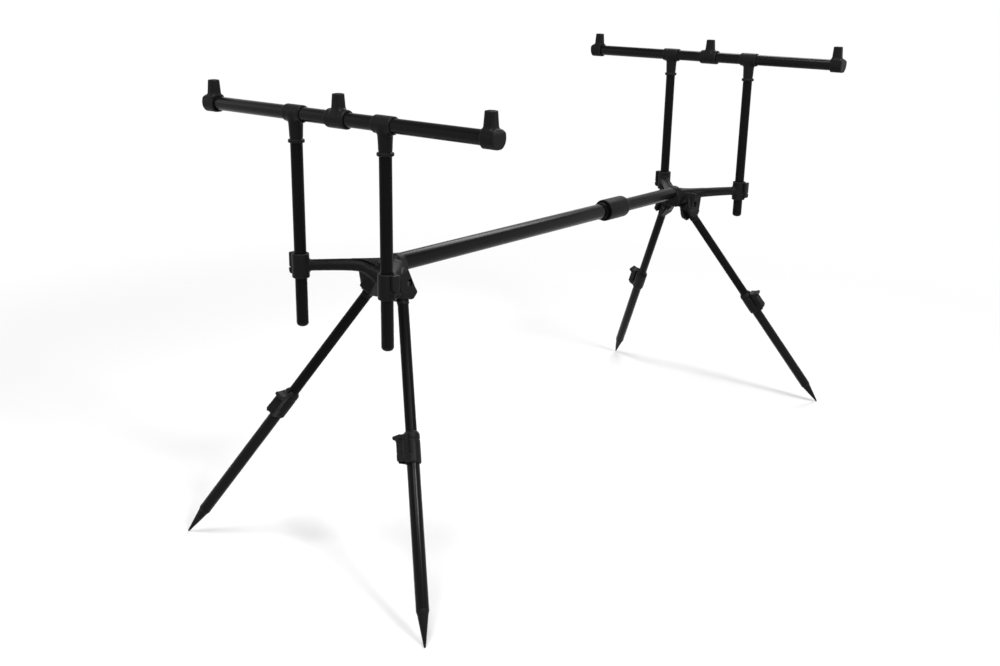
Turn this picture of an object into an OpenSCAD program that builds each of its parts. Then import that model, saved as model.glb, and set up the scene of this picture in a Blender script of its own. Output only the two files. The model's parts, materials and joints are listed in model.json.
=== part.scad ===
// Rod pod: a telescopic main bar on four folding legs, carrying two raised cross bars.
// Millimetres, +Z up. The origin is on the ground, midway between the four feet.
// Y runs along the main bar. The front end is at -Y and the left side is at -X.

/* [Stance] */
// Height of the main bar's axis above the ground
bar_height = 400; // [350:1:425]
// Distance between the centres of the two hubs
hub_spacing = 722; // [640:1:800]
// Sideways lean of each leg, in degrees
leg_splay = 29; // [26:0.5:33]
// Outward lean of each leg along the bar, in degrees
leg_rake = 23; // [18:0.5:26]
// Height of the front cross bar above the main bar
front_rise = 199; // [150:1:240]
// Height of the rear cross bar above the main bar
rear_rise = 235; // [150:1:245]

/* [Main bar] */
// Outside diameter of the outer tube
main_d = 25; // [23:0.5:29]
// Wall of both main tubes
main_wall = 1.4; // [1:0.1:2]
// Length of the inner tube
inner_len = 426; // [380:1:470]
// Distance from the middle of the pod to the lock, at rest
lock_y = 133; // [60:1:150]
// Length of the twist lock's sleeve
lock_len = 58; // [50:1:66]
// Wall of the twist lock's sleeve over the tube
lock_wall = 5.2; // [4.4:0.1:6.5]
// Length of the ferrule beside the lock
ferrule_len = 11; // [8:0.5:16]
// Wall of the ferrule around the outer tube
ferrule_wall = 1.4; // [1:0.1:2.4]

/* [Hubs] */
// Distance between the two uprights of a cross bar
upright_spacing = 158; // [146:1:180]
// Distance from a hub's centre out to the uprights
upright_out = 97; // [88:1:108]
// Wall of the boss around the main tube
boss_wall = 1.4; // [1:0.1:2.4]
// Radius of an arm where it leaves the boss
arm_root_r = 9; // [8:0.1:10]
// Radius of an arm at its collar
arm_tip_r = 6.6; // [5.8:0.1:7.4]
// Height of a collar
collar_h = 33; // [30:0.5:38]
// Wall of a collar
collar_wall = 3.4; // [2.8:0.1:4.5]

/* [Leg brackets] */
// Sideways distance from the main bar's axis to a hinge
hinge_x = 23; // [22:0.5:26]
// Outward distance from a hub's centre to a hinge
hinge_out = 12; // [8:0.5:15]
// Drop from the main bar's axis to a hinge
hinge_drop = 26; // [25:0.5:28]
// Thickness of each cheek
cheek_t = 4.2; // [3.4:0.1:5]
// Thickness of a leg's knuckle between its cheeks
knuckle_t = 12; // [10.5:0.1:13]
// Diameter of a hinge bolt
bolt_d = 6; // [5:0.1:7]

/* [Legs] */
// Outside diameter of a leg's lower tube
leg_d = 16.4; // [15.6:0.1:18]
// Wall of a leg's lower tube
leg_wall = 0.7; // [0.6:0.05:0.9]
// Wall of a leg's upper tube
leg_upper_wall = 1; // [0.8:0.1:1.4]
// Length of a leg's upper tube
leg_upper_len = 229; // [215:1:250]
// Length of a leg's lower section, from the clamp's top to the spike's point
leg_lower_len = 266; // [250:1:290]
// Length of a spike
spike_len = 45; // [36:1:54]
// Height of a leg clamp
clamp_h = 42; // [38:0.5:48]
// Wall of a leg clamp over the lower tube
clamp_wall = 2.5; // [2.2:0.1:3.4]

/* [Cross bars] */
// Diameter of a cross bar's tube
bar_d = 18; // [16:0.5:21]
// Wall of a cross bar's tube
bar_wall = 1.2; // [1:0.1:1.8]
// Distance between the two outer rest sockets of a cross bar
socket_spacing = 482; // [420:1:540]
// Height of a rest socket's rim above its bar's axis
socket_h = 30.5; // [28:0.5:36]
// Diameter of an upright
upright_d = 16; // [15:0.5:18]
// Wall of an upright
upright_wall = 1.2; // [1:0.1:1.6]
// Distance from a cross bar's axis down to the foot of its uprights
upright_reach = 281; // [268:1:300]
// Length of a tee along its bar
tee_len = 31; // [27:0.5:38]
// Drop from a cross bar's axis to the underside of a tee's stop flange
tee_drop = 37; // [33:0.5:44]

/* [Levers] */
// Width of a leg lever between its ears
leg_lever_w = 8; // [7:0.1:9]
// Thickness of each ear on a leg clamp
leg_ear_t = 3; // [2.4:0.1:3.6]
// Radius of a leg lever's knuckle
leg_cam_r = 4.8; // [4.2:0.1:5.4]
// Turn of the front leg clamps about their legs, in degrees
front_clamp_turn = 0; // [-60:5:60]
// Turn of the rear leg clamps about their legs, in degrees
rear_clamp_turn = 90; // [0:5:120]
// Width of a collar lever between its ears
collar_lever_w = 6.4; // [5.6:0.1:7.2]
// Thickness of each ear on a collar
collar_ear_t = 2.2; // [1.8:0.1:2.6]
// Radius of a collar lever's knuckle
collar_cam_r = 2.5; // [2.4:0.1:2.8]
// Diameter of a lever's pin
pin_d = 2.6; // [2.2:0.1:2.8]

/* [Clearances] */
// Gap around parts that are fixed in a socket
fit_gap = 0.05; // [0.02:0.01:0.08]
// Gap around tubes that slide
slide_gap = 0.2; // [0.15:0.01:0.3]
// Gap around pins that turn
turn_gap = 0.08; // [0.05:0.01:0.1]
// Gap beside faces that pass each other
face_gap = 0.4; // [0.3:0.05:0.5]

/* [Hidden] */
$fn = 64;
hub_y = hub_spacing / 2;
upright_x = upright_spacing / 2;
socket_x = socket_spacing / 2;
inner_d = main_d - 2 * main_wall - 2 * slide_gap;
boss_back = 9;
boss_nose = 12;
outer_y0 = boss_back - hub_y;
tube_seat = 18;
outer_y1 = lock_y + tube_seat;
inner_y1 = hub_y - boss_back;
lock_d = main_d + 2 * lock_wall;
collet_d = main_d + 1.2;
lock_end = 16;
collet_len = lock_len - tube_seat - lock_end;

boss_d = main_d + 2 * boss_wall;
spigot_len = 42;
core_drop = hinge_drop - 2;
collar_r = upright_d / 2 + slide_gap + collar_wall;
collar_low = -15;
arm_z = [-2.5, 2];
arm_root = [3, -1, arm_z[0]];
arm_tip = [upright_x, upright_out, arm_z[1]];
web_run = 54;

bracket_t = knuckle_t + 2 * face_gap + 2 * cheek_t;
lug_r = bolt_d / 2 + 5.4;
neck_w = 2 * lug_r - 4.6;
neck_len = 24;
shoulder = 3;

leg_upper_d = leg_d - 2 * leg_wall - 2 * slide_gap;
tip_r = 1.2;
lean_cos = cos(leg_splay) * cos(leg_rake);
lean_sin = sqrt(1 - lean_cos * lean_cos);
leg_len = (bar_height - hinge_drop - tip_r * lean_sin) / lean_cos;
clamp_z = leg_lower_len - leg_len;
clamp_step = 12;
clamp_r = leg_d / 2 + clamp_wall;
leg_lever_y = clamp_r + face_gap + leg_cam_r;
leg_lever_z = 8 - clamp_h;

collar_lever_x = collar_r + face_gap + collar_cam_r;
collar_lever_z = collar_low + 9;

bar_half = socket_x + 8;
cap_d = bar_d + 6;
stub_r = cap_d / 2 - 2.4;
tee_d = bar_d + 4.2;
stem_d = upright_d + 0.8;
flange_t = 4.6;
plug_h = 5;
insert_d = 11;
insert_len = 14;
thread_d = 8.2;

frame_black = "#17181a";
nylon_black = "#202124";
steel = "#8d9196";
brass = "#b08a45";

front = -1;
rear = 1;
left = -1;
right = 1;

leg_parts = ["leg_knuckle", "leg_upper_tube", "leg_clamp", "leg_lower_tube", "leg_spike", "leg_lever",
    "leg_lever_pin"];
ends = ["front", "rear"];
sides = ["left", "right"];
bar_parts = ["bar_tube", "left_upright", "right_upright", "tees", "centre_socket",
    "end_sockets", "thread_inserts", "upright_plugs"];
hub_parts = ["hub", "hinge_bolts", "collar_pins", "left_collar_lever", "right_collar_lever"];

// Outline helpers: every point is [x, y, corner radius].
function flat(p) = [p[0], p[1]];
function unit(v) = v / norm(v);
function turn(a) = a > 180 ? a - 360 : (a < -180 ? a + 360 : a);
function arc_points(a, b, c, r, steps) =
    let (
        u = unit(a - b),
        v = unit(c - b),
        half = acos(u * v) / 2,
        centre = b + unit(u + v) * r / sin(half),
        p = b + u * r / tan(half) - centre,
        q = b + v * r / tan(half) - centre,
        start = atan2(p[1], p[0]),
        sweep = turn(atan2(q[1], q[0]) - start)
    )
    [for (i = [0:steps]) centre + r * [cos(start + sweep * i / steps), sin(start + sweep * i / steps)]];
function rounded(points, steps = 6) =
    let (n = len(points))
    [for (i = [0:n - 1])
        each points[i][2] == 0
            ? [flat(points[i])]
            : arc_points(flat(points[(i + n - 1) % n]), flat(points[i]), flat(points[(i + 1) % n]),
                points[i][2], steps)];

// A point on the right arm's axis, from 0 at the boss to 1 at the collar
function arm_point(t) = arm_root + (arm_tip - arm_root) * t;

// Placing helpers
module corner(end, side) {
    if (end < 0) mirror([0, 1, 0]) one_side(side) children();
    else one_side(side) children();
}

module one_side(side) {
    if (side < 0) mirror([1, 0, 0]) children();
    else children();
}

module both_sides() {
    children();
    mirror([1, 0, 0]) children();
}

module along_y(y) {
    translate([0, y, 0]) rotate([-90, 0, 0]) children();
}

module along_x(x) {
    translate([x, 0, 0]) rotate([0, 90, 0]) children();
}

module at_hub(end) {
    corner(end, right) translate([0, hub_y, bar_height]) children();
}

module at_fold() {
    translate([hinge_x, hinge_out, -hinge_drop]) rotate([0, -leg_splay, 0]) children();
}

module at_leg(end, side) {
    corner(end, side)
        translate([0, hub_y, bar_height])
            at_fold() rotate([leg_rake, 0, 0]) children();
}

module at_clamp(turn) {
    translate([0, 0, clamp_z]) rotate([0, 0, -turn]) children();
}

module at_collar() {
    translate([upright_x, upright_out, 0]) children();
}

module at_bar(end, rise) {
    corner(end, right) translate([0, hub_y + upright_out, bar_height + rise]) children();
}

module plate_yz(points, t) {
    translate([-t / 2, 0, 0])
        rotate([90, 0, 90]) linear_extrude(height = t) polygon(rounded(points));
}

module plate_xz(points, t) {
    translate([0, t / 2, 0])
        rotate([90, 0, 0]) linear_extrude(height = t) polygon(rounded(points));
}

module turned(points) {
    rotate_extrude() polygon(points);
}

module tube(d, wall, length) {
    difference() {
        cylinder(d = d, h = length);
        translate([0, 0, -1]) cylinder(d = d - 2 * wall, h = length + 2);
    }
}

module aimed(a, b) {
    v = b - a;
    translate(a) rotate([0, acos(v[2] / norm(v)), atan2(v[1], v[0])]) children();
}

module taper(a, b, ra, rb) {
    aimed(a, b) cylinder(r1 = ra, r2 = rb, h = norm(b - a));
}

// Main bar
module main_outer_tube() {
    color(frame_black)
        translate([0, 0, bar_height])
            along_y(outer_y0) tube(main_d, main_wall, outer_y1 - outer_y0);
}

module main_inner_tube() {
    color(frame_black)
        translate([0, 0, bar_height])
            along_y(inner_y1 - inner_len) tube(inner_d, main_wall, inner_len);
}

module lock_ferrule() {
    bore = main_d / 2 + fit_gap;
    rim = bore + ferrule_wall;
    color(nylon_black)
        translate([0, 0, bar_height])
            along_y(lock_y - ferrule_len)
                turned([
                    [bore, 0], [rim - 0.6, 0], [rim, 0.6], [rim, ferrule_len], [bore, ferrule_len]
                ]);
}

module lock_collet() {
    bore = inner_d / 2 + slide_gap;
    nose = collet_d / 2 - 1.4;
    color(nylon_black)
        translate([0, 0, bar_height])
            along_y(outer_y1)
                turned([
                    [bore, 0], [collet_d / 2, 0], [collet_d / 2, collet_len - 8],
                    [nose, collet_len], [bore, collet_len]
                ]);
}

module lock_sleeve() {
    r = lock_d / 2;
    wide = collet_d / 2 + face_gap;
    slim = inner_d / 2 + slide_gap;
    inside = tube_seat + collet_len + 0.6;
    end = lock_len;
    color(nylon_black)
        translate([0, 0, bar_height])
            along_y(lock_y + face_gap)
                turned([
                    [wide, 0], [r - 1, 0], [r, 1], [r, end - 5], [r - 0.8, end - 2.2], [r - 2.8, end],
                    [slim, end], [slim, inside], [wide, inside]
                ]);
}

// Hubs
module hub(tube_d) {
    difference() {
        union() {
            hub_boss();
            hub_core();
            both_sides() hub_arm();
            hub_web();
            both_sides() at_collar() collar_body();
            both_sides() at_fold() bracket_body();
            along_y(-boss_back - spigot_len)
                cylinder(d = tube_d - 2 * main_wall - 2 * fit_gap, h = spigot_len + 1);
        }
        both_sides() arm_flutes();
        both_sides() at_collar() collar_cuts();
        both_sides() at_fold() bracket_cuts();
    }
}

module hub_boss() {
    r = boss_d / 2;
    length = boss_back + boss_nose;
    along_y(-boss_back)
        turned([
            [0, 0], [r - 1, 0], [r, 1], [r, length - 8], [r - 2.4, length - 3], [r - 6, length], [0, length]
        ]);
}

module hub_core() {
    wide = boss_d / 2 + 5;
    outline = [
        [-boss_d / 2, 2, 0], [boss_d / 2, 2, 0], [wide, -10, 4], [boss_d / 2 - 1, -core_drop, 4],
        [1 - boss_d / 2, -core_drop, 4], [-wide, -10, 4]
    ];
    translate([0, 3, 0]) plate_xz(outline, 22);
}

module hub_arm() {
    taper(arm_root, arm_tip, arm_root_r, arm_tip_r);
}

module arm_flutes() {
    run = norm([upright_x, upright_out]);
    away = [upright_out, -upright_x, 0] / run;
    r = 9;
    for (s = [-1, 1]) {
        a = arm_point(0.36) + s * away * (arm_root_r + r - 2) + [0, 0, 2];
        b = arm_point(0.8) + s * away * (arm_tip_r + r - 1) + [0, 0, 2];
        length = norm(b - a);
        aimed(a, b)
            turned([
                [0, -r], [r * 0.7, -r * 0.7], [r, 0], [r, length],
                [r * 0.7, length + r * 0.7], [0, length + r]
            ]);
    }
}

module hub_web() {
    half = atan2(upright_x, upright_out);
    radius = web_run * tan(half);
    centre = web_run / cos(half);
    low = arm_z[0] - arm_root_r * 0.72;
    high = arm_z[0] + arm_root_r * 0.62;
    arc = [for (a = [0:5:90]) let (t = -90 + (90 - half) * (1 - a / 45))
        [radius * cos(t), centre + radius * sin(t)]];
    translate([0, 0, low])
        linear_extrude(height = high - low)
            polygon(concat([[-4, -4], [4, -4]], arc));
}

module collar_body() {
    r = collar_r;
    top = collar_low + collar_h;
    turned([
        [0, collar_low], [r - 1.2, collar_low], [r, collar_low + 1.2],
        [r, top - 1.6], [r - 1.2, top], [0, top]
    ]);
    ears(collar_lever_x, collar_lever_z, collar_cam_r, collar_lever_w, collar_ear_t);
}

module ears(px, pz, cam_r, lever_w, ear_t) {
    e = cam_r + 0.5;
    bend = e - 0.3;
    back = px - 9;
    outline = [[back, pz - e, 0], [px + e, pz - e, bend], [px + e, pz + e, bend], [back, pz + e, 0]];
    for (s = [-1, 1])
        translate([0, s * (lever_w / 2 + face_gap + ear_t / 2), 0]) plate_xz(outline, ear_t);
}

module collar_cuts() {
    translate([0, 0, collar_low - 1]) cylinder(d = upright_d + 2 * slide_gap, h = collar_h + 2);
    translate([0, -0.7, collar_low - 1]) cube([collar_r + 1, 1.4, collar_h + 2]);
    translate([collar_lever_x, 0, collar_lever_z])
        rotate([90, 0, 0]) cylinder(d = pin_d + 2 * fit_gap, h = 40, center = true);
}

module bracket_body() {
    outline = [[17, 23, 3], [19, -13, 4], [-2, -21.5, 4], [-14, -14, 4], [-14, 18, 4]];
    neck = [[-13, 8, 0], [12, 8, 0], [10, 32, 3], [-13, 32, 3]];
    neck_t = bracket_t * 0.62;
    plate_yz(outline, bracket_t);
    translate([-(bracket_t - neck_t) / 2, 0, 0]) plate_yz(neck, neck_t);
}

module bracket_cuts() {
    slot = knuckle_t + 2 * face_gap;
    ring = lug_r + 0.8;
    stop = neck_w / 2 + face_gap;
    rotate([0, 90, 0]) cylinder(r = ring, h = slot, center = true);
    rotate([leg_rake, 0, 0]) translate([-slot / 2, -14, -40]) cube([slot, 14 + stop, 40]);
    translate([-slot / 2, -40, -40]) cube([slot, 40, 40 + ring]);
    rotate([0, 90, 0]) cylinder(d = bolt_d + 2 * fit_gap, h = bracket_t + 12, center = true);
}

module hinge_bolt() {
    half = bracket_t / 2;
    rotate([0, 90, 0]) {
        translate([0, 0, -half - 4]) cylinder(d = bolt_d, h = bracket_t + 4);
        translate([0, 0, half])
            turned([[0, 0], [bolt_d * 0.85, 0], [bolt_d * 0.85, 1.6], [bolt_d * 0.6, 3], [0, 3.2]]);
        translate([0, 0, -half - 3.6]) cylinder(d = bolt_d * 1.8, h = 3.6, $fn = 6);
    }
}

module front_hub() {
    color(nylon_black) at_hub(front) hub(main_d);
}

module rear_hub() {
    color(nylon_black) at_hub(rear) hub(inner_d);
}

module hinge_bolts(end) {
    color(steel) at_hub(end) both_sides() at_fold() hinge_bolt();
}

module lever_pin(lever_w, ear_t) {
    cylinder(d = pin_d, h = lever_w + 2 * face_gap + 2 * ear_t, center = true);
}

module collar_pins(end) {
    color(steel)
        at_hub(end) both_sides() at_collar()
            translate([collar_lever_x, 0, collar_lever_z])
                rotate([90, 0, 0]) lever_pin(collar_lever_w, collar_ear_t);
}

module collar_lever() {
    c = collar_cam_r;
    top = collar_h + collar_low - collar_lever_z - 0.4;
    wide = collar_lever_w + 2 * collar_ear_t;
    difference() {
        union() {
            plate_xz([[-c, -c, c * 0.9], [c, -c, c * 0.9], [c, top, 1.4], [-c, top, 1]], collar_lever_w);
            plate_xz([[-c, c + 1.2, 0.8], [c, c + 1.2, 0.8], [c + 0.8, top, 1.4], [-c, top, 1]], wide);
        }
        rotate([90, 0, 0]) cylinder(d = pin_d + 2 * turn_gap, h = wide + 2, center = true);
    }
}

module collar_lever_at(end, side) {
    color(nylon_black)
        corner(end, side)
            translate([0, hub_y, bar_height]) at_collar()
                translate([collar_lever_x, 0, collar_lever_z]) collar_lever();
}

// Cross bars
module bar_tube() {
    along_x(-bar_half) tube(bar_d, bar_wall, 2 * bar_half);
}

module upright() {
    foot = plug_h - upright_reach;
    translate([0, 0, foot]) tube(upright_d, upright_wall, -tee_drop - foot);
}

module tee() {
    r = tee_d / 2;
    stem = stem_d / 2;
    rim = stem + 2.3;
    low = -tee_drop;
    difference() {
        union() {
            along_x(-tee_len / 2)
                turned([
                    [0, 0], [r - 1.4, 0], [r, 1.6], [r, tee_len - 1.6], [r - 1.4, tee_len], [0, tee_len]
                ]);
            turned([
                [0, 0], [r - 0.4, 0], [r - 0.4, -bar_d / 2], [stem + 0.5, -bar_d / 2 - 6],
                [stem, -bar_d / 2 - 10], [stem, low + flange_t], [rim - 0.8, low + flange_t],
                [rim, low + flange_t - 0.8], [rim, low + 1], [rim - 1, low], [0, low]
            ]);
            translate([0, 0, low - 24])
                cylinder(d = upright_d - 2 * upright_wall - 2 * fit_gap, h = 25);
        }
        along_x(-tee_len) cylinder(d = bar_d + 2 * fit_gap, h = 2 * tee_len);
    }
}

module rest_stub() {
    top = socket_h;
    turned([
        [0, 2], [stub_r, 2], [stub_r - 0.2, bar_d / 2 + 3], [7.9, top - 1], [7.3, top], [0, top]
    ]);
}

module rest_bore() {
    floor = socket_h - 1 - insert_len;
    translate([0, 0, floor]) cylinder(d = insert_d + 2 * fit_gap, h = insert_len + 3);
}

module centre_socket() {
    length = tee_len + 2;
    r = cap_d / 2;
    difference() {
        union() {
            along_x(-length / 2)
                turned([
                    [0, 0], [r - 1.6, 0], [r, 2], [r, length - 2], [r - 1.6, length], [0, length]
                ]);
            rest_stub();
        }
        along_x(-length) cylinder(d = bar_d + 2 * fit_gap, h = 2 * length);
        rest_bore();
    }
}

module end_socket() {
    r = cap_d / 2;
    back = 12;
    nose = stub_r + 5.4;
    length = back + nose;
    difference() {
        union() {
            along_x(-back)
                turned([
                    [0, 0], [r - 1.4, 0], [r, 1.8], [r, length - 5], [r - 1.2, length - 3.4],
                    [r - 3.6, length - 2], [r - 6, length], [0, length]
                ]);
            rest_stub();
        }
        along_x(-back - 1) cylinder(d = bar_d + 2 * fit_gap, h = back + 1 + bar_half - socket_x);
        rest_bore();
    }
}

module thread_insert() {
    floor = socket_h - 1 - insert_len;
    translate([0, 0, floor])
        difference() {
            cylinder(d = insert_d, h = insert_len);
            translate([0, 0, -1]) cylinder(d = thread_d, h = insert_len + 2);
        }
}

module upright_plug() {
    r = upright_d / 2;
    low = -upright_reach;
    inside = r - upright_wall - fit_gap;
    turned([
        [0, low], [r - 3.6, low], [r - 1.4, low + 0.8], [r - 0.3, low + 2.4], [r, low + 4],
        [r, low + plug_h], [inside, low + plug_h], [inside, low + plug_h + 14], [0, low + plug_h + 14]
    ]);
}

module bar_part(end, rise, part) {
    at_bar(end, rise) {
        if (part == "bar_tube") color(frame_black) bar_tube();
        if (part == "left_upright") color(frame_black) translate([-upright_x, 0, 0]) upright();
        if (part == "right_upright") color(frame_black) translate([upright_x, 0, 0]) upright();
        if (part == "tees") color(nylon_black) both_sides() translate([upright_x, 0, 0]) tee();
        if (part == "centre_socket") color(nylon_black) centre_socket();
        if (part == "end_sockets") color(nylon_black) both_sides() translate([socket_x, 0, 0]) end_socket();
        if (part == "thread_inserts")
            color(brass) for (x = [-socket_x, 0, socket_x]) translate([x, 0, 0]) thread_insert();
        if (part == "upright_plugs")
            color(nylon_black) both_sides() translate([upright_x, 0, 0]) upright_plug();
    }
}

// Legs, drawn hanging along -Z from the hinge, with +Y outward
module knuckle() {
    seat = leg_upper_d / 2 - leg_upper_wall - fit_gap;
    end = neck_len + shoulder;
    difference() {
        union() {
            rotate([0, 90, 0]) cylinder(r = lug_r, h = knuckle_t, center = true);
            translate([-knuckle_t / 2, -neck_w / 2, -neck_len]) cube([knuckle_t, neck_w, neck_len]);
            translate([0, 0, -end]) cylinder(d = leg_upper_d, h = shoulder);
            translate([0, 0, -end - 28]) cylinder(r = seat, h = 28 + 1);
        }
        rotate([0, 90, 0]) cylinder(d = bolt_d + 2 * turn_gap, h = knuckle_t + 2, center = true);
    }
}

module leg_upper_tube() {
    end = neck_len + shoulder + leg_upper_len;
    translate([0, 0, -end]) tube(leg_upper_d, leg_upper_wall, leg_upper_len);
}

module leg_clamp() {
    r = clamp_r;
    neck = leg_upper_d / 2 + slide_gap;
    seat = leg_d / 2 + fit_gap;
    difference() {
        union() {
            turned([
                [neck, 0], [neck + 1.2, 0], [r, -6], [r, 1.6 - clamp_h], [r - 1.4, -clamp_h],
                [seat, -clamp_h], [seat, -clamp_step], [neck, -clamp_step]
            ]);
            difference() {
                rotate([0, 0, 90]) ears(leg_lever_y, leg_lever_z, leg_cam_r, leg_lever_w, leg_ear_t);
                translate([0, 0, -clamp_h - 1]) cylinder(r = (r + seat) / 2, h = clamp_h + 2);
            }
        }
        translate([-0.7, 0, -clamp_h - 1]) cube([1.4, r + 1, clamp_h + 2]);
        translate([0, leg_lever_y, leg_lever_z])
            rotate([0, 90, 0]) cylinder(d = pin_d + 2 * fit_gap, h = 40, center = true);
    }
}

module leg_lower_tube() {
    top = clamp_z - clamp_step;
    foot = spike_len - leg_len;
    translate([0, 0, foot]) tube(leg_d, leg_wall, top - foot);
}

module leg_spike() {
    r = leg_d / 2;
    inside = r - leg_wall - fit_gap;
    foot = spike_len - leg_len;
    turned([
        [0, -leg_len], [tip_r, -leg_len], [r - 0.3, foot - 3], [r, foot - 2], [r, foot],
        [inside, foot], [inside, foot + 12], [0, foot + 12]
    ]);
}

module leg_lever() {
    c = leg_cam_r;
    top = -leg_lever_z - 3;
    wide = leg_lever_w + 2 * leg_ear_t;
    hook = 6;
    translate([0, leg_lever_y, leg_lever_z])
        difference() {
            union() {
                plate_yz(
                    [[-c, -c, c * 0.9], [c, -c, c * 0.9], [c, top - 4, 1], [-c, top - 4, 1]], leg_lever_w);
                plate_yz([
                    [-c, c + 1.2, 0.8], [c, c + 1.2, 0.8], [c, top - 10, 3], [c + hook, top - 7, 1.2],
                    [c + hook - 1, top - 3, 1.5], [c - 1, top, 2], [-c, top, 1]
                ], wide);
            }
            rotate([0, 90, 0]) cylinder(d = pin_d + 2 * turn_gap, h = wide + 2, center = true);
        }
}

module leg_lever_pin() {
    translate([0, leg_lever_y, leg_lever_z]) rotate([0, 90, 0]) lever_pin(leg_lever_w, leg_ear_t);
}

module leg_part(end, side, part) {
    turn = end < 0 ? front_clamp_turn : rear_clamp_turn;
    at_leg(end, side) {
        if (part == "leg_knuckle") color(nylon_black) knuckle();
        if (part == "leg_upper_tube") color(frame_black) leg_upper_tube();
        if (part == "leg_clamp") color(nylon_black) at_clamp(turn) leg_clamp();
        if (part == "leg_lower_tube") color(frame_black) leg_lower_tube();
        if (part == "leg_spike") color(nylon_black) leg_spike();
        if (part == "leg_lever") color(nylon_black) at_clamp(turn) leg_lever();
        if (part == "leg_lever_pin") color(steel) at_clamp(turn) leg_lever_pin();
    }
}

main_outer_tube();
main_inner_tube();
lock_ferrule();
lock_collet();
lock_sleeve();
front_hub();
hinge_bolts(front);  // front_hinge_bolts
collar_pins(front);  // front_collar_pins
collar_lever_at(front, left);  // front_left_collar_lever
collar_lever_at(front, right);  // front_right_collar_lever
rear_hub();
hinge_bolts(rear);  // rear_hinge_bolts
collar_pins(rear);  // rear_collar_pins
collar_lever_at(rear, left);  // rear_left_collar_lever
collar_lever_at(rear, right);  // rear_right_collar_lever
for (part = bar_parts) {
    bar_part(front, front_rise, part);
    bar_part(rear, rear_rise, part);
}
for (part = leg_parts) {
    leg_part(front, left, part);
    leg_part(front, right, part);
    leg_part(rear, left, part);
    leg_part(rear, right, part);
}
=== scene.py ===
"""Looks of a rod pod: drawn tubes, moulded fittings and turned pins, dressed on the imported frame."""

import json
import logging
import math
from collections.abc import Callable, Sequence
from dataclasses import dataclass, field
from enum import Enum
from functools import cached_property

import bpy
import numpy as np
from mathutils import Matrix, Vector

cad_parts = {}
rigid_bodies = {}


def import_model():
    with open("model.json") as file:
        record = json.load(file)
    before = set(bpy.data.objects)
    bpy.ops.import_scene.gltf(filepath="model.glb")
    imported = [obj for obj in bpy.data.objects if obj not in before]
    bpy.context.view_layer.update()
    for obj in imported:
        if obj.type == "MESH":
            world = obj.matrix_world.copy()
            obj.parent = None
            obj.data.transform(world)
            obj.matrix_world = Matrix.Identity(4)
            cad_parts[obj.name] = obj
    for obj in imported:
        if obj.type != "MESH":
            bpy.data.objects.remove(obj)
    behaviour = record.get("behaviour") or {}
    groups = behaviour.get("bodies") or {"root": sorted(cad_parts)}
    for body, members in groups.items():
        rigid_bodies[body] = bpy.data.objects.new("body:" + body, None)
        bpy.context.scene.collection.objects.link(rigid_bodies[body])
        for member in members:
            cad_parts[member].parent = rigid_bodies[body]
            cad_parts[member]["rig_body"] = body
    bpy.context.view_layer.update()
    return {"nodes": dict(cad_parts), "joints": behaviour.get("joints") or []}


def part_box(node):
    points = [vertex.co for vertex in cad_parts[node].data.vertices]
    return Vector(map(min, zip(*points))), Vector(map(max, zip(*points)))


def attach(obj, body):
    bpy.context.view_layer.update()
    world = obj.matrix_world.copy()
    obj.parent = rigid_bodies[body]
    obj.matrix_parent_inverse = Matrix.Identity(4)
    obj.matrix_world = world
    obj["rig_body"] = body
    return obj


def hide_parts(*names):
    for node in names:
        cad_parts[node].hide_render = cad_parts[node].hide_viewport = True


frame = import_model()

LOG = logging.getLogger("rod_pod")
MM = 0.001
Point = tuple[float, float, float]
Colour = tuple[float, float, float, float]
Flat = Callable[[np.ndarray, np.ndarray], np.ndarray]


class End(Enum):
    """The two ends of the pod, with the sign of their Y."""

    FRONT = -1
    REAR = 1

    @property
    def label(self) -> str:
        """The word that starts the names of this end's nodes."""
        return self.name.lower()


class Side(Enum):
    """The two sides of the pod, with the sign of their X."""

    LEFT = -1
    RIGHT = 1

    @property
    def label(self) -> str:
        """The word for this side in the names of nodes."""
        return self.name.lower()


class Axis(Enum):
    """An axis, as the index of its coordinate."""

    X = 0
    Y = 1
    Z = 2

    @property
    def others(self) -> tuple[int, int]:
        """The indices of the other two coordinates, in order."""
        first, second = [i for i in range(3) if i != self.value]
        return first, second


# Meshes


@dataclass
class Mesh:
    """A mesh in millimetres, with what the finishes need to know of each corner.

    Attributes:
        points: The corners.
        faces: The corners of each face, seen counterclockwise from outside.
        edge: How sharp the form is at each corner, from 0 to 1.
        local: Each corner before the mesh was placed, with Z along the piece.
    """

    points: np.ndarray
    faces: list[tuple[int, ...]]
    edge: np.ndarray
    local: np.ndarray

    def placed(self, place: Matrix) -> "Mesh":
        """Moves the mesh, and turns its faces over where the move mirrors it.

        Args:
            place: The move, in millimetres.

        Returns:
            The moved mesh.
        """
        m = np.array(place)
        faces = self.faces if place.determinant() > 0 else [f[::-1] for f in self.faces]
        return Mesh(self.points @ m[:3, :3].T + m[:3, 3], faces, self.edge, self.local)

    def plus(self, other: "Mesh") -> "Mesh":
        """Puts another mesh beside this one.

        Args:
            other: The mesh to add.

        Returns:
            Both, as one mesh.
        """
        start = len(self.points)
        faces = self.faces + [tuple(i + start for i in f) for f in other.faces]
        return Mesh(
            np.vstack([self.points, other.points]),
            faces,
            np.concatenate([self.edge, other.edge]),
            np.vstack([self.local, other.local]),
        )

    def to_object(self, name: str) -> bpy.types.Object:
        """Makes a smooth-shaded object of the mesh, in metres.

        Args:
            name: The object's name.

        Returns:
            The new object.
        """
        data = bpy.data.meshes.new(name)
        data.from_pydata((self.points * MM).tolist(), [], self.faces)
        edge = data.attributes.new("edge", "FLOAT", "POINT")
        edge.data.foreach_set("value", self.edge.astype(np.float32))
        along = data.attributes.new("local", "FLOAT_VECTOR", "POINT")
        along.data.foreach_set("vector", self.local.astype(np.float32).ravel())
        data.shade_smooth()
        obj = bpy.data.objects.new(name, data)
        bpy.context.scene.collection.objects.link(obj)
        return obj


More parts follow.
